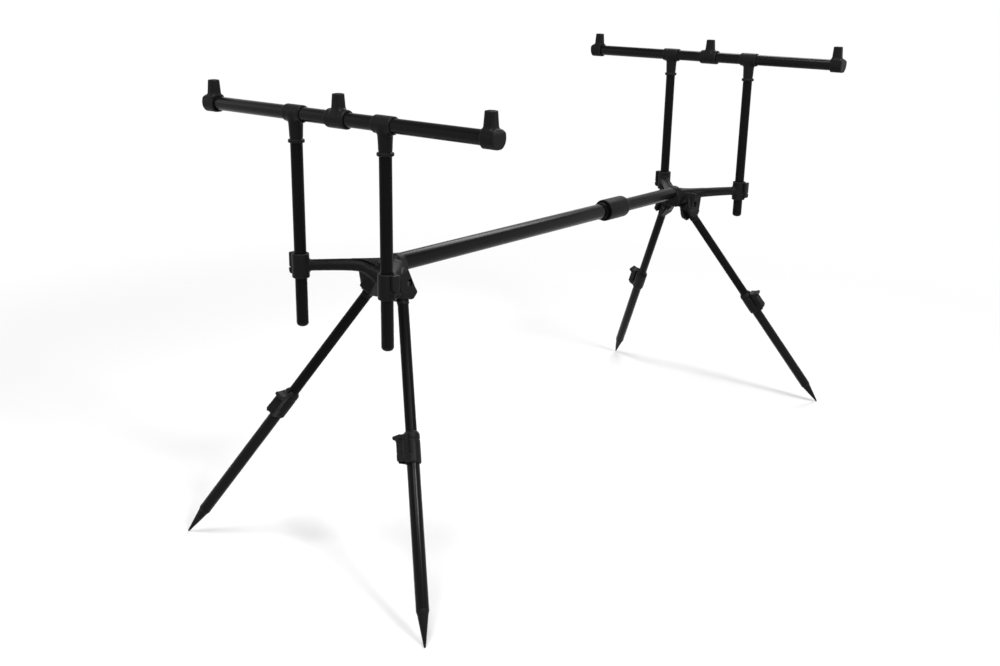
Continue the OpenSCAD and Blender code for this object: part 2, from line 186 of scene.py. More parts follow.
def combined(meshes: Sequence[Mesh]) -> Mesh:
    """Puts several meshes together.

    Args:
        meshes: One mesh or more.

    Returns:
        All of them, as one mesh.
    """
    total = meshes[0]
    for mesh in meshes[1:]:
        total = total.plus(mesh)
    return total


# Turned pieces


@dataclass(frozen=True)
class Ring:
    """One corner of a turned profile.

    Attributes:
        r: Radius, or half the width across the flats.
        z: Height along the axis.
        ease: How far the corner is eased, in millimetres.
        flats: Number of flats, or 0 where it is round.
    """

    r: float
    z: float
    ease: float = 0.0
    flats: int = 0


@dataclass(frozen=True)
class Turning:
    """A piece made on a lathe.

    Attributes:
        rings: The profile, counterclockwise from the axis or round a closed wall.
        closed: Whether the profile is a closed wall, as in a tube.
        segments: Number of steps round the axis.
    """

    rings: tuple[Ring, ...]
    closed: bool = False
    segments: int = 64

    def eased(self) -> list[tuple[Ring, float]]:
        """Eases the profile's corners into short curves.

        Returns:
            Each ring of the eased profile, with its sharpness from 0 to 1.
        """
        steps = 4
        path: list[tuple[Ring, float]] = []
        count = len(self.rings)
        for i, ring in enumerate(self.rings):
            last = not self.closed and i in (0, count - 1)
            if last or ring.ease <= 0:
                path.append((ring, 0.0))
                continue
            before, after = self.rings[i - 1], self.rings[(i + 1) % count]
            here = np.array([ring.r, ring.z])
            back = np.array([before.r, before.z]) - here
            ahead = np.array([after.r, after.z]) - here
            reach = [np.linalg.norm(back), np.linalg.norm(ahead)]
            cut = min(ring.ease, 0.45 * reach[0], 0.45 * reach[1])
            start, end = here + back / reach[0] * cut, here + ahead / reach[1] * cut
            convex = float(-back[0] * ahead[1] + back[1] * ahead[0] > 0)
            for step in range(steps + 1):
                t = step / steps
                r, z = (1 - t) ** 2 * start + 2 * t * (1 - t) * here + t * t * end
                path.append((Ring(r, z, 0.0, ring.flats), convex * 4 * t * (1 - t)))
        return path

    def mesh(self) -> Mesh:
        """Turns the profile round the Z axis.

        Returns:
            The mesh, with its faces outward.
        """
        angles = np.linspace(0, 2 * math.pi, self.segments, endpoint=False)
        points: list[np.ndarray] = []
        edge: list[np.ndarray] = []
        rows: list[list[int]] = []
        total = 0
        for ring, sharp in self.eased():
            radius = np.full(len(angles), ring.r)
            if ring.flats:
                part = 2 * math.pi / ring.flats
                radius = ring.r / np.cos((angles + part / 2) % part - part / 2)
            if ring.r < 1e-6:
                points.append(np.array([[0.0, 0.0, ring.z]]))
                rows.append([total] * self.segments)
            else:
                heights = np.full(len(angles), ring.z)
                points.append(np.stack([radius * np.cos(angles), radius * np.sin(angles), heights], axis=1))
                rows.append(list(range(total, total + self.segments)))
            edge.append(np.full(len(points[-1]), sharp))
            total += len(points[-1])
        faces: list[tuple[int, ...]] = []
        for low, high in zip(rows, rows[1:] + rows[:1] if self.closed else rows[1:]):
            for j in range(self.segments):
                k = (j + 1) % self.segments
                corners = (low[j], low[k], high[k], high[j])
                faces.append(tuple(dict.fromkeys(corners)))
        stacked = np.vstack(points)
        return Mesh(stacked, faces, np.concatenate(edge), stacked.copy())


def tube(d: float, wall: float, low: float, high: float, ease: float = 0.35) -> Mesh:
    """A drawn tube along Z, with its ends broken by a light chamfer.

    Args:
        d: Outside diameter.
        wall: Wall thickness.
        low: Height of the lower end.
        high: Height of the upper end.
        ease: How far the end's corners are eased.

    Returns:
        The tube's mesh.
    """
    outer, inner = d / 2, d / 2 - wall
    rings = (
        Ring(inner, low, ease), Ring(outer, low, ease),
        Ring(outer, high, ease), Ring(inner, high, ease),
    )
    return Turning(rings, closed=True, segments=72).mesh()


def threaded_insert(d: float, hole: float, length: float, pitch: float) -> Mesh:
    """A knurled insert with a cut thread in its bore, standing on Z = 0.

    Args:
        d: Outside diameter.
        hole: Diameter of the bore at the thread's roots.
        length: Height of the insert.
        pitch: Pitch of the thread.

    Returns:
        The insert's mesh.
    """
    around, depth, knurl = 48, 0.6, 0.12
    heights = np.linspace(0, length, int(length / pitch * 8) + 1)
    angles = np.linspace(0, 2 * math.pi, around, endpoint=False)
    inside = np.empty((len(heights), around))
    for i, z in enumerate(heights):
        wave = ((z / pitch - angles / (2 * math.pi)) % 1.0) * 2 - 1
        fade = min(1.0, z / pitch, (length - z) / pitch)
        inside[i] = hole / 2 - depth * fade * (1 - np.abs(wave))
    outside = d / 2 - knurl * (np.arange(around) % 2)
    rows = [(outside, 0.0), (outside, length)]
    rows += [(inside[i], heights[i]) for i in range(len(heights) - 1, -1, -1)]
    points = np.vstack(
        [np.stack([r * np.cos(angles), r * np.sin(angles), np.full(around, z)], axis=1) for r, z in rows]
    )
    faces: list[tuple[int, ...]] = []
    for i in range(len(rows)):
        low, high = i * around, (i + 1) % len(rows) * around
        for j in range(around):
            k = (j + 1) % around
            faces.append((low + j, low + k, high + k, high + j))
    return Mesh(points, faces, np.zeros(len(points)), points.copy())


# Moulded pieces


def outline(points: Sequence[tuple[float, float]], corner: float) -> Flat:
    """A convex outline with rounded corners.

    Args:
        points: The corners, counterclockwise.
        corner: Radius of the corners.

    Returns:
        The signed distance to it.
    """
    planes: list[tuple[float, float, float]] = []
    for (ax, ay), (bx, by) in zip(points, list(points[1:]) + [points[0]]):
        run = math.hypot(bx - ax, by - ay)
        nx, ny = (by - ay) / run, (ax - bx) / run
        planes.append((nx, ny, nx * ax + ny * ay))

    def distance(u: np.ndarray, v: np.ndarray) -> np.ndarray:
        """The distance from the outline.

        Args:
            u: Each point's first coordinate.
            v: Each point's second coordinate.

        Returns:
            The distances, below zero inside.
        """
        sides = [u * nx + v * ny - c for nx, ny, c in planes]
        worst = np.maximum.reduce(sides)
        beyond = sum(np.maximum(s + corner, 0) ** 2 for s in sides)
        return np.minimum(worst, -corner) + np.sqrt(beyond)

    return distance


def stroke(a: tuple[float, float], b: tuple[float, float], ra: float, rb: float) -> Flat:
    """A straight stroke with round ends, which may taper.

    Args:
        a: Its start.
        b: Its end.
        ra: Radius at the start.
        rb: Radius at the end.

    Returns:
        The signed distance to it.
    """
    du, dv = b[0] - a[0], b[1] - a[1]
    square = du * du + dv * dv

    def distance(u: np.ndarray, v: np.ndarray) -> np.ndarray:
        """The distance from the stroke, below zero inside."""
        t = np.clip(((u - a[0]) * du + (v - a[1]) * dv) / square, 0, 1)
        return np.hypot(u - a[0] - t * du, v - a[1] - t * dv) - (ra + (rb - ra) * t)

    return distance


def lower(a: np.ndarray, b: np.ndarray, blend: float) -> np.ndarray:
    """The smaller of two distances, eased where they are close.

    Args:
        a: One distance.
        b: The other.
        blend: Width of the eased stretch.

    Returns:
        The eased minimum.
    """
    if blend <= 0:
        return np.minimum(a, b)
    near = np.maximum(blend - np.abs(a - b), 0) / blend
    return np.minimum(a, b) - near * near * blend / 4


def both(a: np.ndarray, b: np.ndarray, ease: float) -> np.ndarray:
    """What two solids share, with the edge between them rounded.

    Args:
        a: Distance to one solid.
        b: Distance to the other.
        ease: Radius of the edge.

    Returns:
        The distance to what they share.
    """
    beyond = np.hypot(np.maximum(a + ease, 0), np.maximum(b + ease, 0))
    return np.minimum(np.maximum(a, b), -ease) + beyond


@dataclass(frozen=True)
class Form:
    """A moulded solid, given by its signed distance in millimetres, below zero inside."""

    distance: Callable[[np.ndarray], np.ndarray]

    @staticmethod
    def slab(flat: Flat, axis: Axis, low: float, high: float, ease: float) -> "Form":
        """A flat outline with a thickness and rounded edges.

        Args:
            flat: The outline, in the other two coordinates.
            axis: The axis across the thickness.
            low: Where the thickness starts.
            high: Where it ends.
            ease: Radius of its edges.

        Returns:
            The solid.
        """
        u, v = axis.others
        middle, half = (low + high) / 2, (high - low) / 2
        return Form(
            lambda p: both(flat(p[:, u], p[:, v]), np.abs(p[:, axis.value] - middle) - half, ease)
        )

    @staticmethod
    def turned(flat: Flat, axis: Axis) -> "Form":
        """A profile of radius and height, turned round an axis through the origin."""
        u, v = axis.others
        return Form(lambda p: flat(np.hypot(p[:, u], p[:, v]), p[:, axis.value]))

    @staticmethod
    def rod(a: Point, b: Point, r: float, ease: float = 0.0) -> "Form":
        """A round rod with flat ends.

        Args:
            a: Middle of one end.
            b: Middle of the other end.
            r: Radius.
            ease: Radius of its edges.

        Returns:
            The solid.
        """
        start, line = np.array(a), np.array(b) - np.array(a)
        length = float(np.linalg.norm(line))
        unit = line / length

        def distance(p: np.ndarray) -> np.ndarray:
            """The distance from the rod.

            Args:
                p: The points.

            Returns:
                The distances, below zero inside the rod.
            """
            along = (p - start) @ unit
            out = np.linalg.norm(p - start - along[:, None] * unit, axis=1) - r
            return both(out, np.abs(along - length / 2) - length / 2, ease)

        return Form(distance)

    @staticmethod
    def bar(a: Point, b: Point, ra: float, rb: float) -> "Form":
        """A tapering bar with round ends.

        Args:
            a: Its start.
            b: Its end.
            ra: Radius at the start.
            rb: Radius at the end.

        Returns:
            The solid.
        """
        start, line = np.array(a), np.array(b) - np.array(a)
        square = float(line @ line)

        def distance(p: np.ndarray) -> np.ndarray:
            """The distance from the bar."""
            t = np.clip((p - start) @ line / square, 0, 1)
            return np.linalg.norm(p - start - t[:, None] * line, axis=1) - (ra + (rb - ra) * t)

        return Form(distance)

    @staticmethod
    def hoop(centre: Point, major: float, minor: float) -> "Form":
        """A round hoop that lies flat.

        Args:
            centre: Its middle.
            major: The radius of its middle line.
            minor: The radius of its section.

        Returns:
            The solid.
        """
        x, y, z = centre
        return Form(
            lambda p: np.hypot(np.hypot(p[:, 0] - x, p[:, 1] - y) - major, p[:, 2] - z) - minor
        )

    def joined(self, other: "Form", blend: float = 0.0) -> "Form":
        """Adds another solid, with a fillet of about the given width between them."""
        return Form(lambda p: lower(self.distance(p), other.distance(p), blend))

    def cut(self, other: "Form", ease: float = 0.0) -> "Form":
        """Takes another solid away, with the edge of the cut rounded."""
        return Form(lambda p: both(self.distance(p), -other.distance(p), ease))

    def placed(self, place: Matrix) -> "Form":
        """Moves the solid, without scaling it."""
        m = np.array(place.inverted())
        return Form(lambda p: self.distance(p @ m[:3, :3].T + m[:3, 3]))

    def mirrored(self) -> "Form":
        """The solid's right half, on both sides of X = 0."""
        return Form(lambda p: self.distance(np.abs(p) * (1, 0, 0) + p * (0, 1, 1)))

    def settled(self, points: np.ndarray, rounds: int) -> np.ndarray:
        """Slides points onto the solid's surface.

        Args:
            points: Points near the surface.
            rounds: How many times to step.

        Returns:
            The points on the surface.
        """
        reach = 0.03
        corners = reach * np.array([(1, -1, -1), (-1, -1, 1), (-1, 1, -1), (1, 1, 1)], dtype=float)
        for _ in range(rounds):
            near = [self.distance(points + c)[:, None] for c in corners]
            slope = sum(d * c for d, c in zip(near, corners)) / (4 * reach**2)
            size = np.maximum((slope**2).sum(axis=1, keepdims=True), 0.25)
            points = points - np.clip(sum(near) / 4 / size, -1, 1) * slope
        return points

    def sharpness(self, points: np.ndarray) -> np.ndarray:
        """How sharply the surface bends outward.

        Args:
            points: Points on the surface.

        Returns:
            From 0 on flat and hollow surfaces to 1 on sharp edges.
        """
        reach = 0.8
        near = sum(self.distance(points + s * reach * e) for e in np.eye(3) for s in (-1, 1))
        bend = (near - 6 * self.distance(points)) / reach**2
        return np.clip((bend - 0.22) / 0.6, 0, 1)

    def mesh(self, low: Point, high: Point, step: float) -> Mesh:
        """Lays a net of quads over the solid's surface.

        Args:
            low: Lowest corner of a box that holds the solid.
            high: Highest corner of that box.
            step: Width of the net.

        Returns:
            The mesh, with its faces outward.
        """
        block = 6
        counts = [math.ceil(((b - a) / step + 5) / block) for a, b in zip(low, high)]
        axes = [a - 2 * step + step * np.arange(n * block) for a, n in zip(low, counts)]
        grid = np.stack(np.meshgrid(*axes, indexing="ij"), axis=-1)
        values = self.sampled(grid, block, step)
        inside = values < 0
        cells = tuple(n - 1 for n in values.shape)
        total, count = np.zeros(cells + (3,)), np.zeros(cells)
        walls: list[tuple[int, int, int, np.ndarray]] = []
        for axis in range(3):
            u, v = (axis + 1) % 3, (axis + 2) % 3
            head, tail = [slice(None)] * 3, [slice(None)] * 3
            head[axis], tail[axis] = slice(0, -1), slice(1, None)
            a, b = values[tuple(head)], values[tuple(tail)]
            crossed = inside[tuple(head)] != inside[tuple(tail)]
            share = np.where(crossed, a / np.where(crossed, a - b, 1.0), 0.0)
            place = grid[tuple(head)].copy()
            place[..., axis] += share * step
            place *= crossed[..., None]
            for du in (0, 1):
                for dv in (0, 1):
                    part = [slice(None)] * 3
                    part[u] = slice(du, cells[u] + du)
                    part[v] = slice(dv, cells[v] + dv)
                    total += place[tuple(part)]
                    count += crossed[tuple(part)]
            walls.append((axis, u, v, np.argwhere(crossed)))
        used = count > 0
        ids = np.full(cells, -1)
        ids[used] = np.arange(used.sum())
        points = total[used] / count[used][:, None]
        quads: list[np.ndarray] = []
        for axis, u, v, where in walls:
            corners = []
            for du, dv in ((1, 1), (0, 1), (0, 0), (1, 0)):
                at = where.copy()
                at[:, u] -= du
                at[:, v] -= dv
                corners.append(ids[tuple(at.T)])
            quad = np.stack(corners, axis=1)
            outward = inside[tuple(where.T)]
            quads.append(np.where(outward[:, None], quad, quad[:, ::-1]))
        faces = np.vstack(quads)
        points = self.evened(points, faces)
        return Mesh(points, [tuple(f) for f in faces.tolist()], self.sharpness(points), points.copy())

    def sampled(self, grid: np.ndarray, block: int, step: float) -> np.ndarray:
        """Samples the distance on a grid, closely only where the surface may pass.

        Args:
            grid: The grid's points.
            block: Number of points along a side of the blocks that are tried first.
            step: Width of the grid.

        Returns:
            The distance at each point.
        """
        first = grid[::block, ::block, ::block] + step * (block - 1) / 2
        coarse = self.distance(first.reshape(-1, 3)).reshape(first.shape[:3])
        for axis in range(3):
            coarse = np.repeat(coarse, block, axis=axis)
        close = np.abs(coarse) < 1.5 * step * block
        coarse[close] = self.distance(grid[close])
        return coarse

    def evened(self, points: np.ndarray, faces: np.ndarray) -> np.ndarray:
        """Evens the net's spacing while it stays on the surface.

        Args:
            points: The net's corners.
            faces: The corners of each quad.

        Returns:
            The corners on the surface.
        """
        points = self.settled(points, 2)
        pairs = np.vstack([faces[:, [i, (i + 1) % 4]] for i in range(4)])
        links = np.bincount(pairs.ravel(), minlength=len(points))[:, None]
        for _ in range(3):
            near = np.zeros_like(points)
            np.add.at(near, pairs[:, 0], points[pairs[:, 1]])
            np.add.at(near, pairs[:, 1], points[pairs[:, 0]])
            points = self.settled(0.5 * points + 0.5 * near / links, 1)
        return self.settled(points, 2)


# Finishes


class Board:
    """The node tree of one material, with short calls for the nodes that the finishes share."""

    def __init__(self, name: str) -> None:
        """Starts a material with a Principled shader.

        Args:
            name: The material's name.
        """
        self.material = bpy.data.materials.new(name)
        self.material.use_nodes = True
        self.tree = self.material.node_tree
        self.tree.nodes.clear()
        self.shader = self.tree.nodes.new("ShaderNodeBsdfPrincipled")
        output = self.tree.nodes.new("ShaderNodeOutputMaterial")
        self.tree.links.new(self.shader.outputs["BSDF"], output.inputs["Surface"])

    def fill(self, node: bpy.types.Node, socket: str | int, value: object) -> None:
        """Links a socket to another node's output, or sets it to a plain value.

        Args:
            node: The node that has the socket.
            socket: The socket's name or index.
            value: An output socket, a number or a colour.
        """
        if isinstance(value, bpy.types.NodeSocket):
            self.tree.links.new(value, node.inputs[socket])
        else:
            node.inputs[socket].default_value = value

    def set(self, **sockets: object) -> None:
        """Fills the shader's sockets, which are named with underscores for spaces."""
        for name, value in sockets.items():
            self.fill(self.shader, name.replace("_", " "), value)

    def attribute(self, name: str, output: str) -> bpy.types.NodeSocket:
        """Reads a mesh attribute.

        Args:
            name: The attribute's name.
            output: The node's output to use.

        Returns:
            That output.
        """
        node = self.tree.nodes.new("ShaderNodeAttribute")
        node.attribute_name = name
        return node.outputs[output]

    def place(self, scale: Point) -> bpy.types.NodeSocket:
        """A piece's own coordinates in millimetres, with Z along the piece.

        Args:
            scale: How many pattern units there are to a millimetre.

        Returns:
            The scaled coordinates.
        """
        node = self.tree.nodes.new("ShaderNodeMapping")
        self.fill(node, "Vector", self.attribute("local", "Vector"))
        node.inputs["Scale"].default_value = scale
        return node.outputs["Vector"]

    def noise(
        self, vector: bpy.types.NodeSocket, detail: float, rough: float = 0.5
    ) -> bpy.types.NodeSocket:
        """Noise of one unit's size.

        Args:
            vector: Where to sample it.
            detail: Number of finer layers.
            rough: How strong the finer layers are.

        Returns:
            The noise, from 0 to 1.
        """
        node = self.tree.nodes.new("ShaderNodeTexNoise")
        self.fill(node, "Vector", vector)
        node.inputs["Scale"].default_value = 1.0
        node.inputs["Detail"].default_value = detail
        node.inputs["Roughness"].default_value = rough
        return node.outputs["Fac"]

    def span(
        self, value: object, start: float, end: float, low: float, high: float
    ) -> bpy.types.NodeSocket:
        """Maps a range of values onto another, and holds it there.

        Args:
            value: The value to map.
            start: Where its range starts.
            end: Where its range ends.
            low: What the start becomes.
            high: What the end becomes.

        Returns:
            The mapped value.
        """
        node = self.tree.nodes.new("ShaderNodeMapRange")
        for socket, number in zip((0, 1, 2, 3, 4), (value, start, end, low, high)):
            self.fill(node, socket, number)
        return node.outputs["Result"]

    def times(self, a: object, b: object) -> bpy.types.NodeSocket:
        """Multiplies two values.

        Args:
            a: A number or a socket.
            b: A number or a socket.

        Returns:
            The product's socket.
        """
        node = self.tree.nodes.new("ShaderNodeMath")
        node.operation = "MULTIPLY"
        self.fill(node, 0, a)
        self.fill(node, 1, b)
        return node.outputs["Value"]

    def mix(self, share: object, a: object, b: object) -> bpy.types.NodeSocket:
        """A colour between two others.

        Args:
            share: 0 for the first colour, 1 for the second.
            a: The first colour.
            b: The second colour.

        Returns:
            The mixed colour.
        """
        node = self.tree.nodes.new("ShaderNodeMix")
        node.data_type = "RGBA"
        for socket, value in ((0, share), (6, a), (7, b)):
            self.fill(node, socket, value)
        return node.outputs[2]

    def bump(self, height: bpy.types.NodeSocket, depth: float) -> bpy.types.NodeSocket:
        """A surface normal with small relief.

        Args:
            height: The relief, from 0 to 1.
            depth: Depth of the relief, in millimetres.

        Returns:
            The normal.
        """
        node = self.tree.nodes.new("ShaderNodeBump")
        node.inputs["Distance"].default_value = depth * MM
        self.fill(node, "Height", height)
        return node.outputs["Normal"]


def grey(value: float) -> Colour:
    """A plain grey of the given level."""
    return (value, value, value, 1.0)


@dataclass(frozen=True)
class Finish:
    """What a surface is made of.

    Attributes:
        name: The material's name.
        slot: The record's material slot.
    """

    name: str
    slot: str

    def make(self) -> bpy.types.Material:
        """Builds the material, or returns it if it is already there."""
        return bpy.data.materials.get(self.name) or self.build(Board(self.name))

    def build(self, board: Board) -> bpy.types.Material:
        """Fills the board for this finish."""
        raise NotImplementedError


@dataclass(frozen=True)
class AnodisedTube(Finish):
    """Drawn aluminium tube, satin black, with fine draw lines along it and paler ends: wear and painted
    highlight.
    """

    dark: float = 0.0032
    pale: float = 0.0060
    worn: float = 0.030
    gloss: tuple[float, float] = (0.20, 0.29)
    shine: float = 0.10

    def build(self, board: Board) -> bpy.types.Material:
        """Fills the board with the draw lines, the dye's clouding and the ends' paler edges, partly wear
        and partly painted highlight.

        Args:
            board: The new material's board.

        Returns:
            The finished material.
        """
        lines = board.noise(board.place((3.0, 3.0, 0.03)), 3.0, 0.6)
        clouds = board.noise(board.place((0.05, 0.05, 0.02)), 4.0, 0.6)
        scuffs = board.noise(board.place((0.9, 0.9, 0.12)), 6.0, 0.7)
        base = board.mix(clouds, grey(self.dark), grey(self.pale))
        rubbed = board.mix(board.span(scuffs, 0.64, 0.78, 0.0, 0.5), base, grey(self.pale * 2.2))
        # Painted highlight: convex edges are painted paler, partly as wear and partly as a highlight on the
        # edge.
        wear_and_highlight_mask = board.times(board.attribute("edge", "Fac"), board.span(scuffs, 0.42, 0.6, 0.15, 1.0))
        board.set(
            Base_Color=board.mix(wear_and_highlight_mask, rubbed, grey(self.worn)),
            Roughness=board.span(lines, 0.3, 0.7, *self.gloss),
            Normal=board.bump(lines, 0.012),
            Specular_IOR_Level=self.shine,
        )
        return board.material


@dataclass(frozen=True)
class MouldedNylon(Finish):
    """Glass-filled nylon from a spark-eroded mould: matt, finely grained, paler on its edges as rubbed wear
    and painted highlight.
    """

    dark: float = 0.0062
    pale: float = 0.0105
    worn: float = 0.026
    gloss: tuple[float, float] = (0.34, 0.47)
    shine: float = 0.07

    def build(self, board: Board) -> bpy.types.Material:
        """Fills the board with the mould's grain, the flow marks and the pale edges, partly rubbed wear and
        partly painted highlight.

        Args:
            board: The new material's board.

        Returns:
            The finished material.
        """
        grain = board.noise(board.place((3.2, 3.2, 3.2)), 3.0, 0.65)
        flow = board.noise(board.place((0.06, 0.06, 0.03)), 5.0, 0.65)
        scuffs = board.noise(board.place((0.45, 0.45, 0.45)), 6.0, 0.72)
        base = board.mix(flow, grey(self.dark), grey(self.pale))
        # Painted highlight: convex edges are painted paler, partly as rubbed wear and partly as a highlight
        # on the edge.
        wear_and_highlight_mask = board.times(board.attribute("edge", "Fac"), board.span(scuffs, 0.40, 0.66, 0.0, 1.0))
        sheen = board.span(scuffs, 0.35, 0.7, *self.gloss)
        board.set(
            Base_Color=board.mix(wear_and_highlight_mask, base, grey(self.worn)),
            Roughness=sheen,
            Normal=board.bump(grain, 0.03),
            Specular_IOR_Level=self.shine,
        )
        return board.material


@dataclass(frozen=True)
class TurnedMetal(Finish):
    """Bare turned metal with tool marks round it and a light tarnish."""

    bright: Colour
    dull: Colour
    gloss: tuple[float, float] = (0.22, 0.38)

    def build(self, board: Board) -> bpy.types.Material:
        """Fills the board with the tool marks and the tarnish.

        Args:
            board: The new material's board.

        Returns:
            The finished material.
        """
        marks = board.noise(board.place((0.5, 0.5, 9.0)), 2.0, 0.5)
        tarnish = board.noise(board.place((0.6, 0.6, 0.6)), 5.0, 0.7)
        board.set(
            Base_Color=board.mix(board.span(tarnish, 0.35, 0.7, 0.0, 1.0), self.bright, self.dull),
            Roughness=board.span(marks, 0.3, 0.7, *self.gloss),
            Normal=board.bump(marks, 0.01),
            Metallic=1.0,
        )
        return board.material


TUBE = AnodisedTube("black_anodised", "black_anodised_tube")
SLIM_TUBE = AnodisedTube("black_anodised_inner", "black_anodised_tube", gloss=(0.23, 0.33))
UPRIGHT = AnodisedTube(
    "black_anodised_matt", "black_anodised_tube", dark=0.0030, pale=0.0056, gloss=(0.30, 0.42), shine=0.05
)
NYLON = MouldedNylon("black_nylon_moulded", "black_nylon")
# Painted shade: the bush is near-black and barely shiny, partly its own black and partly the shade in the
# gap before the sleeve.
BUSH_PAINTED_SHADE = MouldedNylon(
    "black_nylon_bush", "black_nylon", dark=0.0010, pale=0.0020, worn=0.005, gloss=(0.42, 0.56), shine=0.02
)
LEVER_NYLON = MouldedNylon("black_nylon_lever", "black_nylon", gloss=(0.32, 0.46))
PIN_STEEL = TurnedMetal(
    "steel_blacked", "steel_pin", bright=grey(0.10), dull=grey(0.035), gloss=(0.26, 0.42),
)
BRASS = TurnedMetal(
    "brass_dulled", "brass_thread", bright=(0.16, 0.115, 0.055, 1.0), dull=(0.06, 0.045, 0.025, 1.0)
)


# Placing


def shift(x: float, y: float, z: float) -> Matrix:
    """A move, in millimetres."""
    return Matrix.Translation((x, y, z))


def turn(degrees: float, axis: Axis) -> Matrix:
    """A turn about an axis through the origin."""
    return Matrix.Rotation(math.radians(degrees), 4, axis.name)


def lying(axis: Axis) -> Matrix:
    """Lays a piece that was made along Z along X or Y."""
    return turn(90, Axis.Y) if axis is Axis.X else turn(-90, Axis.X)


def corner(end: End, side: Side) -> Matrix:
    """Mirrors the rear right corner of the pod to another corner."""
    return Matrix.Diagonal((side.value, end.value, 1, 1))


def node_box(node: str) -> tuple[Vector, Vector]:
    """A node's lowest and highest corners, in millimetres."""
    low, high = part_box(node)
    return low / MM, high / MM


def joint(name: str) -> dict:
    """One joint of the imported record."""
    return next(j for j in frame["joints"] if j["name"] == name)


@dataclass(frozen=True)
class Piece:
    """One dressed piece of the pod.

    Attributes:
        node: The node that it stands for, which also names it.
        mesh: Its mesh, in place.
        finish: What it is made of.
    """

    node: str
    mesh: Mesh
    finish: Finish

    def fit(self) -> bpy.types.Object:
        """Makes the object, puts it on the node's body in place of the node, and dresses it.

        Returns:
            The finished object.
        """
        body = frame["nodes"][self.node]["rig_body"]
        obj = self.mesh.to_object(f"{self.node}_skin")
        obj.data.materials.append(self.finish.make())
        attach(obj, body)
        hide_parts(self.node)
        LOG.info("%s: %d faces on %s, %s", obj.name, len(self.mesh.faces), body, self.finish.name)
        return obj


# Sub-assemblies


@dataclass
class MainBar:
    """The telescopic main bar and its twist lock.

    Attributes:
        main_d: Diameter of the outer tube.
        inner_d: Diameter of the inner tube.
        wall: Wall of both tubes.
        lock_d: Diameter of the lock's sleeve.
        ferrule_wall: Wall of the ferrule in front of the sleeve, whose near-black is partly its own and
            partly painted shade.
        recess: Depth of the sleeve's front face, where the ferrule's seal lies.
    """

    main_d: float = 25.0
    inner_d: float = 21.8
    wall: float = 1.4
    lock_d: float = 35.4
    ferrule_wall: float = 1.4
    recess: float = 2.4

    def along(self, mesh: Mesh, y: float) -> Mesh:
        """Lays a turned mesh along the bar, with its Z = 0 at a given Y."""
        low, high = node_box("main_outer_tube")
        return mesh.placed(shift(0, y, (low.z + high.z) / 2) @ lying(Axis.Y))

    def tubes(self) -> list[Piece]:
        """Draws the two tubes, from their nodes' lengths.

        Returns:
            The outer tube and the inner tube.
        """
        sizes = (("main_outer_tube", self.main_d, TUBE), ("main_inner_tube", self.inner_d, SLIM_TUBE))
        pieces = []
        for node, d, finish in sizes:
            low, high = node_box(node)
            pieces.append(Piece(node, self.along(tube(d, self.wall, 0, high.y - low.y), low.y), finish))
        return pieces

    def ferrule(self) -> Piece:
        """The ring on the outer tube, with the seal behind it that lies in the sleeve's face, in near-black
        nylon that is partly its own black and partly painted shade.

        Returns:
            The ferrule.
        """
        low, high = node_box("lock_ferrule")
        length, bore = high.y - low.y, self.main_d / 2 + 0.05
        rim, seal = bore + self.ferrule_wall, self.lock_d / 2 - 1.7
        rings = (
            Ring(bore, 0, 0.2), Ring(rim - 0.7, 0, 0.4), Ring(rim, 0.9, 0.5), Ring(rim, length - 0.2, 0.4),
            Ring(seal - 0.4, length - 0.2, 0.4), Ring(seal, length + 0.4, 0.4),
            Ring(seal, length + self.recess - 0.4, 0.3), Ring(bore, length + self.recess - 0.4, 0.2),
        )
        return Piece("lock_ferrule", self.along(Turning(rings, True, 96).mesh(), low.y), BUSH_PAINTED_SHADE)

    def sleeve(self) -> Piece:
        """The lock's sleeve: a smooth barrel with a recessed front face and an eased rear edge.

        Returns:
            The sleeve.
        """
        low, high = node_box("lock_sleeve")
        end, r = high.y - low.y, self.lock_d / 2
        slim, wide = self.inner_d / 2 + 0.2, self.main_d / 2 + 1.0
        rings = (
            Ring(wide, self.recess, 0.2), Ring(r - 1.5, self.recess, 0.3), Ring(r - 1.5, 0.3, 0.3),
            Ring(r - 0.9, 0, 0.4), Ring(r, 1.0, 0.6), Ring(r, end - 5, 2.0), Ring(r - 0.8, end - 2.2, 1.2),
            Ring(r - 2.8, end, 0.8), Ring(slim + 0.8, end, 0.4), Ring(slim, end - 0.6, 0.3),
            Ring(slim, end - 15, 0.2), Ring(wide, end - 15.4, 0.2),
        )
        return Piece("lock_sleeve", self.along(Turning(rings, True, 96).mesh(), low.y), NYLON)

    def build(self) -> list[Piece]:
        """All the pieces of the main bar that show."""
        return [*self.tubes(), self.ferrule(), self.sleeve()]

    def dress(self) -> None:
        """Gives the collet, whose own node shows inside the sleeve, the moulded finish."""
        collet = frame["nodes"]["lock_collet"].data
        collet.materials.clear()
        collet.materials.append(NYLON.make())


